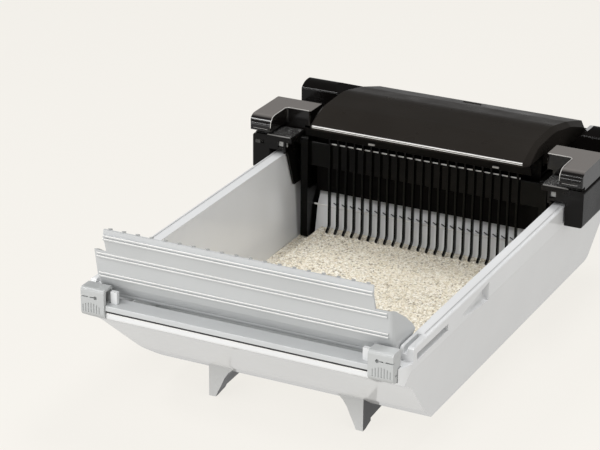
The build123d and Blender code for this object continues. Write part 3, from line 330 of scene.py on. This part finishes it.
def plastic(name, rgb, shade, roughness, grain=900.0, bump=0.02, coat=0.0, rub=0.08, dust=0.03, shine=0.5,
            painted_light_facing=None):
    """Moulded plastic from the shared skin and scuff groups; coat is a clear gloss on top. The last
    argument paints light or shade by direction: faces along one axis get a colour of their own, a
    painted shade or a painted highlight. It gives the axis, the share of the normal along it where
    that colour starts and where it is full, and the colour."""
    material, tree, shader = new_material(name)
    skin = tree.nodes.new("ShaderNodeGroup")
    skin.node_tree = SKIN
    skin.inputs["Colour"].default_value = paint(rgb)
    skin.inputs["Shade"].default_value = paint(shade)
    skin.inputs["Grain Scale"].default_value = grain
    skin.inputs["Roughness"].default_value = roughness
    # painted light: faces that point along the axis get the painted shade or highlight colour
    if painted_light_facing:
        axis, start, full, painted_light_colour = painted_light_facing
        share = arithmetic(tree, "ABSOLUTE", normal_parts(tree)[axis], 0.0)
        share = remap(tree, share, start, full, 0.0, 1.0)
        for label, own in (("Colour", rgb), ("Shade", shade)):
            tree.links.new(blend_colour(tree, share, paint(own), paint(painted_light_colour)), skin.inputs[label])
    scuffs = tree.nodes.new("ShaderNodeGroup")
    scuffs.node_tree = SCUFFS
    scuffs.inputs["Rub Amount"].default_value = rub
    scuffs.inputs["Dust Amount"].default_value = dust
    tree.links.new(skin.outputs["Colour"], scuffs.inputs["Colour"])
    tree.links.new(scuffs.outputs["Colour"], shader.inputs["Base Color"])
    roughened = arithmetic(tree, "ADD", skin.outputs["Roughness"], scuffs.outputs["Rub"])
    tree.links.new(roughened, shader.inputs["Roughness"])
    add_bump(tree, shader, skin.outputs["Height"], bump, GRAIN_DEPTH)
    shader.inputs["Specular IOR Level"].default_value = shine
    shader.inputs["Coat Weight"].default_value = coat
    shader.inputs["Coat Roughness"].default_value = COAT_ROUGHNESS
    return material


def metal(name, rgb, roughness):
    """Turned steel: brushed noise stretched along the bar."""
    material, tree, shader = new_material(name)
    lines = noise(tree, stretched(tree, (0.1, 1.0, 1.0)), 1500.0, 3.0)
    colour = blend_colour(tree, lines, paint(rgb), paint([c * 0.8 for c in rgb]))
    tree.links.new(colour, shader.inputs["Base Color"])
    brushed = remap(tree, lines, 0.3, 0.7, roughness - 0.06, roughness + 0.08)
    tree.links.new(brushed, shader.inputs["Roughness"])
    shader.inputs["Metallic"].default_value = 1.0
    return material


def make_litter_material():
    """Clay granules: each grain has its own tone, with a few grey and dark ones, painted shade in the
    gaps between them, and a slow drift of tone over the bed."""
    material, tree, shader = new_material("clay_granules")
    place = object_place(tree)
    grains = tree.nodes.new("ShaderNodeTexVoronoi")
    grains.inputs["Scale"].default_value = 420.0
    tree.links.new(place, grains.inputs["Vector"])
    tone = tree.nodes.new("ShaderNodeSeparateColor")
    tree.links.new(grains.outputs["Color"], tone.inputs["Color"])
    base = blend_colour(tree, tone.outputs["Red"], paint((255, 252, 243)), paint((230, 220, 198)))
    dark = remap(tree, tone.outputs["Green"], 0.91, 0.95, 0.0, 0.7)
    base = blend_colour(tree, dark, base, paint((122, 110, 92)))
    # painted shade: the gaps between grains are darker
    gap = remap(tree, grains.outputs["Distance"], 0.46, 0.76, 0.0, 0.5)
    base = blend_colour(tree, gap, base, paint((150, 134, 106)))
    drift = remap(tree, noise(tree, place, 14.0), 0.35, 0.65, 0.0, 0.2)
    base = blend_colour(tree, drift, base, paint((236, 226, 204)))
    tree.links.new(base, shader.inputs["Base Color"])
    shader.inputs["Roughness"].default_value = 0.9
    add_bump(tree, shader, grains.outputs["Distance"], 0.8, LITTER_GRAIN_DEPTH, invert=True)
    return material


def make_deck_material():
    """Grained deck pads: near black, with fine pale specks, painted sparkle, where noise passes a threshold.
    """
    material, tree, shader = new_material("deck_grain_painted_sparkle")
    place = object_place(tree)
    # painted highlight: pale specks stand for sparkle on the grained pad
    specks = remap(tree, noise(tree, place, 760.0, 2.0), 0.56, 0.62, 0.0, 1.0)
    clouds = remap(tree, noise(tree, place, 60.0), 0.4, 0.6, 0.35, 1.0)
    amount = arithmetic(tree, "MULTIPLY", specks, clouds)
    colour = blend_colour(tree, amount, paint((16, 15, 14)), paint((178, 177, 175)))
    tree.links.new(colour, shader.inputs["Base Color"])
    tree.links.new(remap(tree, specks, 0.0, 1.0, 0.5, 0.3), shader.inputs["Roughness"])
    add_bump(tree, shader, specks, 0.6, GRAIN_DEPTH)
    return material


# ---- materials of this object --------------------------------------------------------------------
GREY = plastic("pan_grey", (225, 226, 227), (221, 222, 223), 0.09, grain=700.0, bump=0.003, rub=0.015,
               shine=0.7)
TRIM_GREY = plastic("strip_grey", (196, 198, 199), (190, 192, 193), 0.2, grain=700.0, bump=0.006, rub=0.02)
# Feet: a darker copy of the pan's grey plastic as painted shade, and near-black painted shade on faces that
# look sideways
FOOT_PAINTED_DIM_GREY = plastic("foot_grey_painted_shade", (194, 195, 195), (188, 189, 189), 0.3, grain=700.0, bump=0.006, rub=0.02,
                    painted_light_facing=("X", 0.25, 0.7, (52, 52, 53)))
# Catches: a darker copy of the pan's grey plastic, painted shade
CATCH_PAINTED_DIM_GREY = plastic("catch_grey_painted_shade", (184, 186, 186), (178, 180, 180), 0.22, grain=700.0, bump=0.01, rub=0.02)
# Lid: a darker copy of the pan's grey plastic, painted shade
LID_PAINTED_DIM_GREY = plastic("lid_grey_painted_shade", (192, 194, 195), (188, 190, 191), 0.2, grain=700.0, bump=0.008, rub=0.015)
TRAY_GREY = plastic("tray_grey", (196, 198, 198), (188, 190, 190), 0.42)
BLACK = plastic("housing_black", (14, 12, 11), (10, 9, 8), 0.28, grain=600.0, bump=0.02, rub=0.004, dust=0.0,
                shine=0.22)
DEEP_BLACK = plastic("inner_black", (7, 6, 5), (5, 4, 4), 0.4, rub=0.003, dust=0.0, shine=0.06)
GLOSS_BLACK = plastic("hood_black", (41, 38, 35), (37, 34, 31), 0.3, grain=500.0, bump=0.005, rub=0.004,
                      dust=0.0, shine=0.06)
BLOCK_BLACK = plastic("block_black", (15, 13, 12), (12, 10, 9), 0.14, grain=500.0, bump=0.005, coat=0.3,
                      rub=0.004, dust=0.0, shine=0.12)
# Caps: faces that look up get a pale grey, a painted reflection of the light above
CAP_BLACK_PAINTED_TOP_SHEEN = plastic("cap_black_painted_top_sheen", (16, 14, 13), (12, 10, 9), 0.18, grain=400.0, bump=0.002, coat=0.5,
                    rub=0.01, dust=0.0, shine=0.3, painted_light_facing=("Z", 0.80, 0.98, (116, 112, 109)))
TINE_BLACK = plastic("tine_black", (5, 5, 4), (4, 4, 3), 0.2, rub=0.002, dust=0.0, shine=0.12)
WINDOW = plastic("window_smoke", (150, 148, 144), (138, 136, 132), 0.15, coat=0.6, rub=0.01, dust=0.0)
SWITCH = plastic("switch_grey", (70, 69, 67), (62, 61, 60), 0.4)
ACETAL = plastic("acetal", (228, 226, 216), (220, 218, 206), 0.38)
RUBBER = plastic("roller_rubber", (34, 34, 34), (28, 28, 28), 0.75, grain=1200.0, bump=0.2)
BOARD = plastic("board_green", (32, 92, 52), (24, 80, 44), 0.35, coat=0.3)
JACKET = plastic("cell_jacket", (74, 76, 82), (66, 68, 74), 0.25, coat=0.4)
STEEL = metal("pin_steel", (190, 190, 190), 0.28)
MOTOR = metal("motor_can", (170, 170, 168), 0.36)
LITTER = make_litter_material()
DECK = make_deck_material()
SILL = plastic("deck_sill", (120, 119, 117), (104, 103, 102), 0.3)
FELT = plastic("tunnel_felt", (170, 170, 168), (150, 150, 148), 0.8, grain=1500.0, bump=0.4)
# Pale beads along edges: painted highlight
HIGHLIGHT_PAINT = plastic("painted_highlight", (240, 239, 237), (234, 233, 231), 0.15, grain=700.0, bump=0.004, rub=0.01)
# Pale beads along the caps' edges: painted highlight
CAP_HIGHLIGHT_PAINT = plastic("cap_painted_highlight", (196, 194, 191), (186, 184, 181), 0.15, coat=0.4, rub=0.01, dust=0.0)
# Dark beads in the lid's valleys: painted shade
VALLEY_SHADOW_PAINT = plastic("painted_shadow_grey", (96, 97, 97), (84, 85, 85), 0.6, rub=0.01, dust=0.0)
# Dark beads: painted shadows of the tines on the rear ledge, and painted shade in the front groove
DARK_SHADOW_PAINT = plastic("painted_shadow_dark", (44, 44, 45), (36, 36, 37), 0.6, rub=0.01, dust=0.0)
# Thin grey beads: a painted shadow line under each ridge of the lid, and a grey line along each rail's top
THIN_LINE_GREY = plastic("thin_line_grey", (186, 186, 186), (180, 180, 180), 0.5)

FINISH = {
    GREY: ["pan"],
    TRIM_GREY: ["front_trim"],
    FOOT_PAINTED_DIM_GREY: ["front_left_foot", "front_right_foot", "rear_left_foot", "rear_right_foot"],
    CATCH_PAINTED_DIM_GREY: ["left_catch", "right_catch"],
    LID_PAINTED_DIM_GREY: ["lid"],
    TRAY_GREY: ["waste_tray"],
    BLACK: ["left_end_housing", "right_end_housing", "battery_tray", "motor_bracket", "dc_inlet"],
    DEEP_BLACK: ["chassis", "lower_housing", "front_fascia"],
    GLOSS_BLACK: ["hood", "battery_door"],
    BLOCK_BLACK: ["left_rear_block", "right_rear_block"],
    CAP_BLACK_PAINTED_TOP_SHEEN: ["left_cap", "right_cap"],
    TINE_BLACK: ["rake_comb", "left_rake_arm", "right_rake_arm"],
    WINDOW: ["sensor_windows"],
    SWITCH: ["power_switch"],
    ACETAL: ["motor_pinion", "spur_gear", "shaft_bushes", "drive_hubs", "left_idler", "right_idler"],
    RUBBER: ["drive_tyres"],
    BOARD: ["circuit_board"],
    JACKET: ["battery_cells"],
    STEEL: ["lid_hinge_pins", "catch_pins", "battery_door_pin", "cross_shaft", "idler_axles", "screws",
            "rake_pins"],
    MOTOR: ["gearmotor"],
}


def dress_nodes():
    """Gives each CAD node its finish in all its slots."""
    for material, names in FINISH.items():
        for name in names:
            slots = NODES[name].material_slots
            if not slots:
                NODES[name].data.materials.append(material)
            for slot in slots:
                slot.material = material


# ---- new surfaces --------------------------------------------------------------------------------
def new_piece(name, points, faces, material, body="base"):
    """A mesh object from point and face arrays in metres, which rides on body."""
    mesh = bpy.data.meshes.new(name)
    mesh.from_pydata(np.asarray(points, float).tolist(), [], faces)
    mesh.materials.append(material)
    piece = bpy.data.objects.new(name, mesh)
    bpy.context.scene.collection.objects.link(piece)
    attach(piece, body)
    return piece


def in_metres(points):
    """Points (x, d, h) in mm as (x, y, z) in metres."""
    x, d, h = np.asarray(points, float).T / 1000.0
    return np.stack([x, FRONT + d, RAIL_TOP + h], -1)


# ---- litter; x across, d behind the catches and h above the rail tops, all in mm ------------------
LITTER_ACROSS, LITTER_ALONG = 288, 300                        # points of the top grid
ROUGH_HALF, ROUGH_D, ROUGH_LENGTH = 171.0, 178.0, 330.0       # the grid before it meets the walls
FLOOR_H = -137.0
LITTER_H = -105.4
TROUGH_H = -118.6
SLIDE_START, SLIDE_RUN = 143.0, 10.0
WALL_HALF, WALL_SLOPE = 178.5, 0.0752                         # at the rail tops, and per mm of height
RAMP_D, RAMP_H, RAMP_RUN, RAMP_DROP = 137.8, -36.0, 60.0, 101.0
REAR_D, REAR_RUN, REAR_RISE = 501.4, 12.0, 61.0
BASE_HALF, BASE_D, BASE_LENGTH, BASE_H = 167.0, 206.0, 288.0, FLOOR_H + 0.4
POINT_LIFT, POINT_SHIFT = 1.7, 0.8                            # how far one point strays, end to end


def litter_height(x, d, rng):
    """Height above the rail. Level at LITTER_H plus three slow sine ripples; over SLIDE_RUN from
    SLIDE_START off the middle it slides by a smooth step down to TROUGH_H; every point then gets its
    own small random lift, the mean of two random numbers, so the grains show."""
    ripples = (0.45 * np.sin(x / 31.0 + d / 47.0) + 0.35 * np.sin(d / 23.0 - x / 53.0 + 1.3)
               + 0.25 * np.sin(x / 13.0 + 2.0) * np.sin(d / 17.0))
    step = np.clip((np.abs(x) - SLIDE_START) / SLIDE_RUN, 0.0, 1.0)
    slide = step * step * (3.0 - 2.0 * step)
    lift = (rng.random(x.shape) + rng.random(x.shape)) * 0.5
    return LITTER_H + ripples * (1.0 - slide) + (TROUGH_H - LITTER_H) * slide + (lift - 0.5) * POINT_LIFT


def litter_top(rng):
    """The top's points on a grid from wall to wall. Half its width is WALL_HALF plus WALL_SLOPE times
    the height. Its front edge lies on the ramp, which falls RAMP_DROP from RAMP_H over RAMP_RUN, and
    its back edge on the rear wall, which leans back REAR_RUN over REAR_RISE from the floor. Points
    inside the edge are shifted by a small random step across and along."""
    across, along = np.linspace(-1.0, 1.0, LITTER_ACROSS), np.linspace(0.0, 1.0, LITTER_ALONG)
    u, v = np.meshgrid(across, along, indexing="ij")
    h = litter_height(u * ROUGH_HALF, ROUGH_D + v * ROUGH_LENGTH, rng)
    half = WALL_HALF + WALL_SLOPE * h
    start = RAMP_D + RAMP_RUN * (RAMP_H - h) / RAMP_DROP
    stop = REAR_D + REAR_RUN * (h - FLOOR_H) / REAR_RISE
    inner = np.zeros(u.shape)
    inner[1:-1, 1:-1] = 1.0
    x = u * half + inner * (rng.random(u.shape) - 0.5) * POINT_SHIFT
    d = start + v * (stop - start) + inner * (rng.random(u.shape) - 0.5) * POINT_SHIFT
    return u.reshape(-1), v.reshape(-1), np.stack([x, d, h], -1).reshape(-1, 3)


def make_litter():
    """The litter as a closed surface in the place of the plain bed: the top grid, a ring of points
    on the floor below its edge, each at its share of the base, and one middle point."""
    u, v, top = litter_top(np.random.default_rng(SEED))
    index = np.arange(LITTER_ACROSS * LITTER_ALONG).reshape(LITTER_ACROSS, LITTER_ALONG)
    quads = np.stack([index[:-1, :-1], index[1:, :-1], index[1:, 1:], index[:-1, 1:]], -1).reshape(-1, 4)
    ring = np.concatenate([index[:-1, 0], index[-1, :-1], index[:0:-1, -1], index[0, :0:-1]])
    low = np.stack([u[ring] * BASE_HALF, BASE_D + v[ring] * BASE_LENGTH, np.full(len(ring), BASE_H)], -1)
    floor_ring = len(top) + np.arange(len(ring))
    middle = len(top) + len(ring)
    following = np.roll(np.arange(len(ring)), -1)
    sides = np.stack([ring, floor_ring, floor_ring[following], ring[following]], -1)
    base = np.stack([floor_ring, np.full(len(ring), middle), floor_ring[following]], -1)
    points = np.concatenate([top, low, [[0.0, BASE_D + BASE_LENGTH / 2.0, BASE_H]]])
    faces = quads.tolist() + sides.tolist() + base.tolist()
    piece = new_piece("litter_mound", in_metres(points), faces, LITTER)
    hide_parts("litter_bed")
    return top


GRAINS = 5200
GRAIN_RADIUS = (0.6, 1.35)
GRAIN_STRETCH = (0.75, 1.3)
GRAIN_CORNER = (0.8, 1.15)    # how far out each corner stands, as a share of the radius
GRAIN_SUNK = 0.3              # share of the radius below the surface
LEVEL_HALF = 146.0            # the grains lie on the level part
GOLDEN = (1.0 + math.sqrt(5.0)) / 2.0
CORNER_REACH = 1.902          # of the corners below, from the middle
ICOSAHEDRON = np.array([(-1, GOLDEN, 0), (1, GOLDEN, 0), (-1, -GOLDEN, 0), (1, -GOLDEN, 0),
                        (0, -1, GOLDEN), (0, 1, GOLDEN), (0, -1, -GOLDEN), (0, 1, -GOLDEN),
                        (GOLDEN, 0, -1), (GOLDEN, 0, 1), (-GOLDEN, 0, -1), (-GOLDEN, 0, 1)]) / CORNER_REACH
ICOSAHEDRON_FACES = np.array([(0, 11, 5), (0, 5, 1), (0, 1, 7), (0, 7, 10), (0, 10, 11),
                              (1, 5, 9), (5, 11, 4), (11, 10, 2), (10, 7, 6), (7, 1, 8),
                              (3, 9, 4), (3, 4, 2), (3, 2, 6), (3, 6, 8), (3, 8, 9),
                              (4, 9, 5), (2, 4, 11), (6, 2, 10), (8, 6, 7), (9, 8, 1)])


def make_grains(surface):
    """Loose grains on the litter: twelve-cornered pebbles, each stretched by its own random factor
    along each axis, sunk by a share of its size at a random point of the litter's surface."""
    rng = np.random.default_rng(SEED + 1)
    flat = surface[np.abs(surface[:, 0]) < LEVEL_HALF]
    seats = flat[rng.integers(0, len(flat), GRAINS)]
    radius = rng.uniform(*GRAIN_RADIUS, (GRAINS, 1, 1))
    stretch = rng.uniform(*GRAIN_STRETCH, (GRAINS, 1, 3))
    corners = ICOSAHEDRON[None] * rng.uniform(*GRAIN_CORNER, (GRAINS, 12, 1)) * stretch * radius
    corners[:, :, 2] -= GRAIN_SUNK * radius[:, :, 0]
    points = (corners + seats[:, None, :]).reshape(-1, 3)
    faces = (ICOSAHEDRON_FACES[None] + 12 * np.arange(GRAINS)[:, None, None]).reshape(-1, 3)
    new_piece("loose_grains", in_metres(points), faces.tolist(), LITTER)


# ---- beads and slabs -----------------------------------------------------------------------------
BEAD_SIDES = 6
SLAB_BEVEL = 0.5


def sweep(path, radius):
    """Points and faces of a thin round bead along a path of (x, d, h) points in mm, with flat ends.
    Each ring stands square to the path there: its two directions are the cross products of the
    path's direction with the upright and with the first of the two."""
    path = np.asarray(path, float)
    ahead = np.gradient(path, axis=0)
    ahead /= np.linalg.norm(ahead, axis=1, keepdims=True)
    across = np.cross(ahead, [0.0, 0.0, 1.0])
    across /= np.linalg.norm(across, axis=1, keepdims=True)
    upward = np.cross(across, ahead)
    turn = 2.0 * np.pi * np.arange(BEAD_SIDES) / BEAD_SIDES
    ring = across[:, None, :] * np.cos(turn)[:, None] + upward[:, None, :] * np.sin(turn)[:, None]
    points = (path[:, None, :] + radius * ring).reshape(-1, 3)
    index = np.arange(len(path) * BEAD_SIDES).reshape(len(path), BEAD_SIDES)
    beyond = np.roll(index, -1, axis=1)
    skin = np.stack([index[:-1], index[1:], beyond[1:], beyond[:-1]], -1).reshape(-1, 4)
    return points, skin.tolist() + [index[0].tolist(), index[-1, ::-1].tolist()]


def beads(name, paths, radius, material, body="base"):
    """One piece of several thin round beads, each along its own path."""
    points, faces, first = [], [], 0
    for path in paths:
        ring_points, ring_faces = sweep(path, radius)
        points.append(ring_points)
        faces += [[corner + first for corner in face] for face in ring_faces]
        first += len(ring_points)
    return new_piece(name, in_metres(np.concatenate(points)), faces, material, body)


def crosswise(half, d, h):
    """A level path across the object from -half to half."""
    return [(-half, d, h), (0.0, d, h), (half, d, h)]


def on_side(side, path):
    """A path given for the right side, on the side asked for."""
    return [(side * x, d, h) for x, d, h in path]


def slab(name, side, box, material, body):
    """A plain box (x0, x1, d0, d1, h0, h1), given for the right side. It has four rings of four
    corners, and the lowest and the highest are drawn in by a bevel, a quarter of its least size at
    most."""
    x0, x1 = sorted((side * box[0], side * box[1]))
    d0, d1, h0, h1 = box[2:]
    cut = min(SLAB_BEVEL, (x1 - x0) / 4.0, (d1 - d0) / 4.0, (h1 - h0) / 4.0)
    inset = np.array([cut, 0.0, 0.0, cut])[:, None]
    height = np.array([h0, h0 + cut, h1 - cut, h1])[:, None]
    x = np.where([False, True, True, False], x1 - inset, x0 + inset)
    d = np.where([False, False, True, True], d1 - inset, d0 + inset)
    points = np.stack([x, d, np.broadcast_to(height, x.shape)], -1).reshape(-1, 3)
    ring = np.arange(4)
    after = np.roll(ring, -1)
    sides = np.stack([ring, after, after + 4, ring + 4], -1)[None] + 4 * np.arange(3)[:, None, None]
    faces = [[3, 2, 1, 0], [12, 13, 14, 15], *sides.reshape(-1, 4).tolist()]
    return new_piece(name, in_metres(points), faces, material, body)


# ---- details; d and h as above, in mm ------------------------------------------------------------
REAR_LEDGE_HALF, REAR_LEDGE_D, REAR_LEDGE_H = 171.0, 513.6, -77.0
TINE_SHADOW_PITCH = 11.45
TINE_SHADOW_PLACES = range(-11, 14)                                   # painted tine shadow i stands i pitches off the middle
TINE_SHADOW_PATH = [(-2.8, 0.7, 4.4), (0.0, 0.3, 3.2), (2.8, 0.0, 2.0)]
FRONT_GROOVE_HALF = 157.0
FRONT_GROOVE_D, FRONT_GROOVE_H = 4.4, -21.7
FRONT_LIPS_D, FRONT_LIPS_H = 4.2, (-20.2, -23.4)
RAIL_LINE = [(190.5, 72.0, 0.05), (190.5, 360.0, 0.05), (190.5, 664.0, 0.05)]
LID_RIDGES = [(173.0, 18.5, 16.0), (173.0, 14.0, 41.0), (160.0, 6.0, 66.0)]      # half width, d, h
DECK_PAD = (167.0, 217.5, 470.0, 503.0, 23.7, 24.25)
DECK_SILL = (168.0, 200.0, 468.1, 469.4, 22.9, 24.5)
TUNNEL_FELT = (173.6, 185.4, 471.4, 473.6, 9.3, 18.7)
HOOD_LIP_HALF, HOOD_LIP_D = 139.5, 472.0
CAP_INNER_EDGE = [(191.3, 459.4, 36.0), (191.3, 460.8, 43.4), (191.3, 465.6, 48.2), (191.3, 472.0, 49.8),
                  (191.3, 500.5, 49.8), (188.5, 504.0, 49.8), (160.0, 504.2, 49.8)]
CAP_FRONT_EDGE = [(195.0, 459.4, 33.6), (205.0, 459.4, 33.6), (214.5, 459.4, 33.6)]
RAKE_BAR_HALF, RAKE_BAR_D, RAKE_BAR_H = 128.0, 498.5, 13.6


def make_pan_lines():
    """Beads on the pan: a painted highlight along the bend of the rear wall, painted shadows of the
    tines over it as short slanted dark strokes, painted shade in the groove under the front strip
    with a painted highlight on its two lips, and a thin grey line along the top of each rail."""
    ledge = crosswise(REAR_LEDGE_HALF, REAR_LEDGE_D - 0.4, REAR_LEDGE_H)
    beads("rear_ledge_bead", [ledge], 1.2, HIGHLIGHT_PAINT)
    tine_shadows = [[(i * TINE_SHADOW_PITCH + x, REAR_LEDGE_D + d, REAR_LEDGE_H + h) for x, d, h in TINE_SHADOW_PATH]
            for i in TINE_SHADOW_PLACES]
    beads("rear_ledge_tine_shadows", tine_shadows, 0.7, DARK_SHADOW_PAINT)
    beads("front_groove", [crosswise(FRONT_GROOVE_HALF, FRONT_GROOVE_D, FRONT_GROOVE_H)], 0.95, DARK_SHADOW_PAINT)
    lips = [crosswise(FRONT_GROOVE_HALF, FRONT_LIPS_D, h) for h in FRONT_LIPS_H]
    beads("front_groove_lips", lips, 0.6, HIGHLIGHT_PAINT)
    for side, label in SIDES:
        beads(label + "_rail_line", [on_side(side, RAIL_LINE)], 0.35, THIN_LINE_GREY)


def ridge_lines(forward, shifts):
    """Paths along each ridge of the lid: so far forward of it, and shifted up or down."""
    return [crosswise(half, d - forward, h + shift) for half, d, h in LID_RIDGES for shift in shifts]


def make_lid_lines():
    """Painted light on the lid's ridges: painted shade in the valley between the two crests of each
    ridge, a painted shadow line below them, and painted highlights on the crests."""
    beads("lid_valleys", ridge_lines(0.2, (0.0,)), 0.5, VALLEY_SHADOW_PAINT, "lid")
    beads("lid_underlines", ridge_lines(0.1, (-3.6,)), 0.35, THIN_LINE_GREY, "lid")
    beads("lid_crests", ridge_lines(1.25, (-1.9, 1.9)), 0.5, HIGHLIGHT_PAINT, "lid")


def make_carriage_details():
    """The gripping pad on each deck, the sill along its front edge, and the pale piece behind each
    tunnel window."""
    for side, label in SIDES:
        slab(label + "_deck_pad", side, DECK_PAD, DECK, "carriage")
        slab(label + "_deck_sill", side, DECK_SILL, SILL, "carriage")
        slab(label + "_tunnel_felt", side, TUNNEL_FELT, FELT, "carriage")


def make_glints():
    """Beads of painted highlight: two along the hood's lip, one along the top edge of the rake's bar,
    and on each cap one along its inner edge and one along its front edge."""
    beads("hood_lip_bead", [crosswise(HOOD_LIP_HALF, HOOD_LIP_D, 43.8)], 0.8, HIGHLIGHT_PAINT, "carriage")
    beads("hood_lip_line", [crosswise(HOOD_LIP_HALF, HOOD_LIP_D, 41.8)], 0.4, HIGHLIGHT_PAINT, "carriage")
    for side, label in SIDES:
        edges = [on_side(side, CAP_INNER_EDGE), on_side(side, CAP_FRONT_EDGE)]
        beads(label + "_cap_highlight", edges, 0.5, CAP_HIGHLIGHT_PAINT, "carriage")
    beads("rake_bar_bead", [crosswise(RAKE_BAR_HALF, RAKE_BAR_D, RAKE_BAR_H)], 0.8, HIGHLIGHT_PAINT, "rake")


bpy.context.scene.view_settings.view_transform = "Standard"
make_camera()
make_studio()
dress_nodes()
make_grains(make_litter())
make_pan_lines()
make_lid_lines()
make_carriage_details()
make_glints()
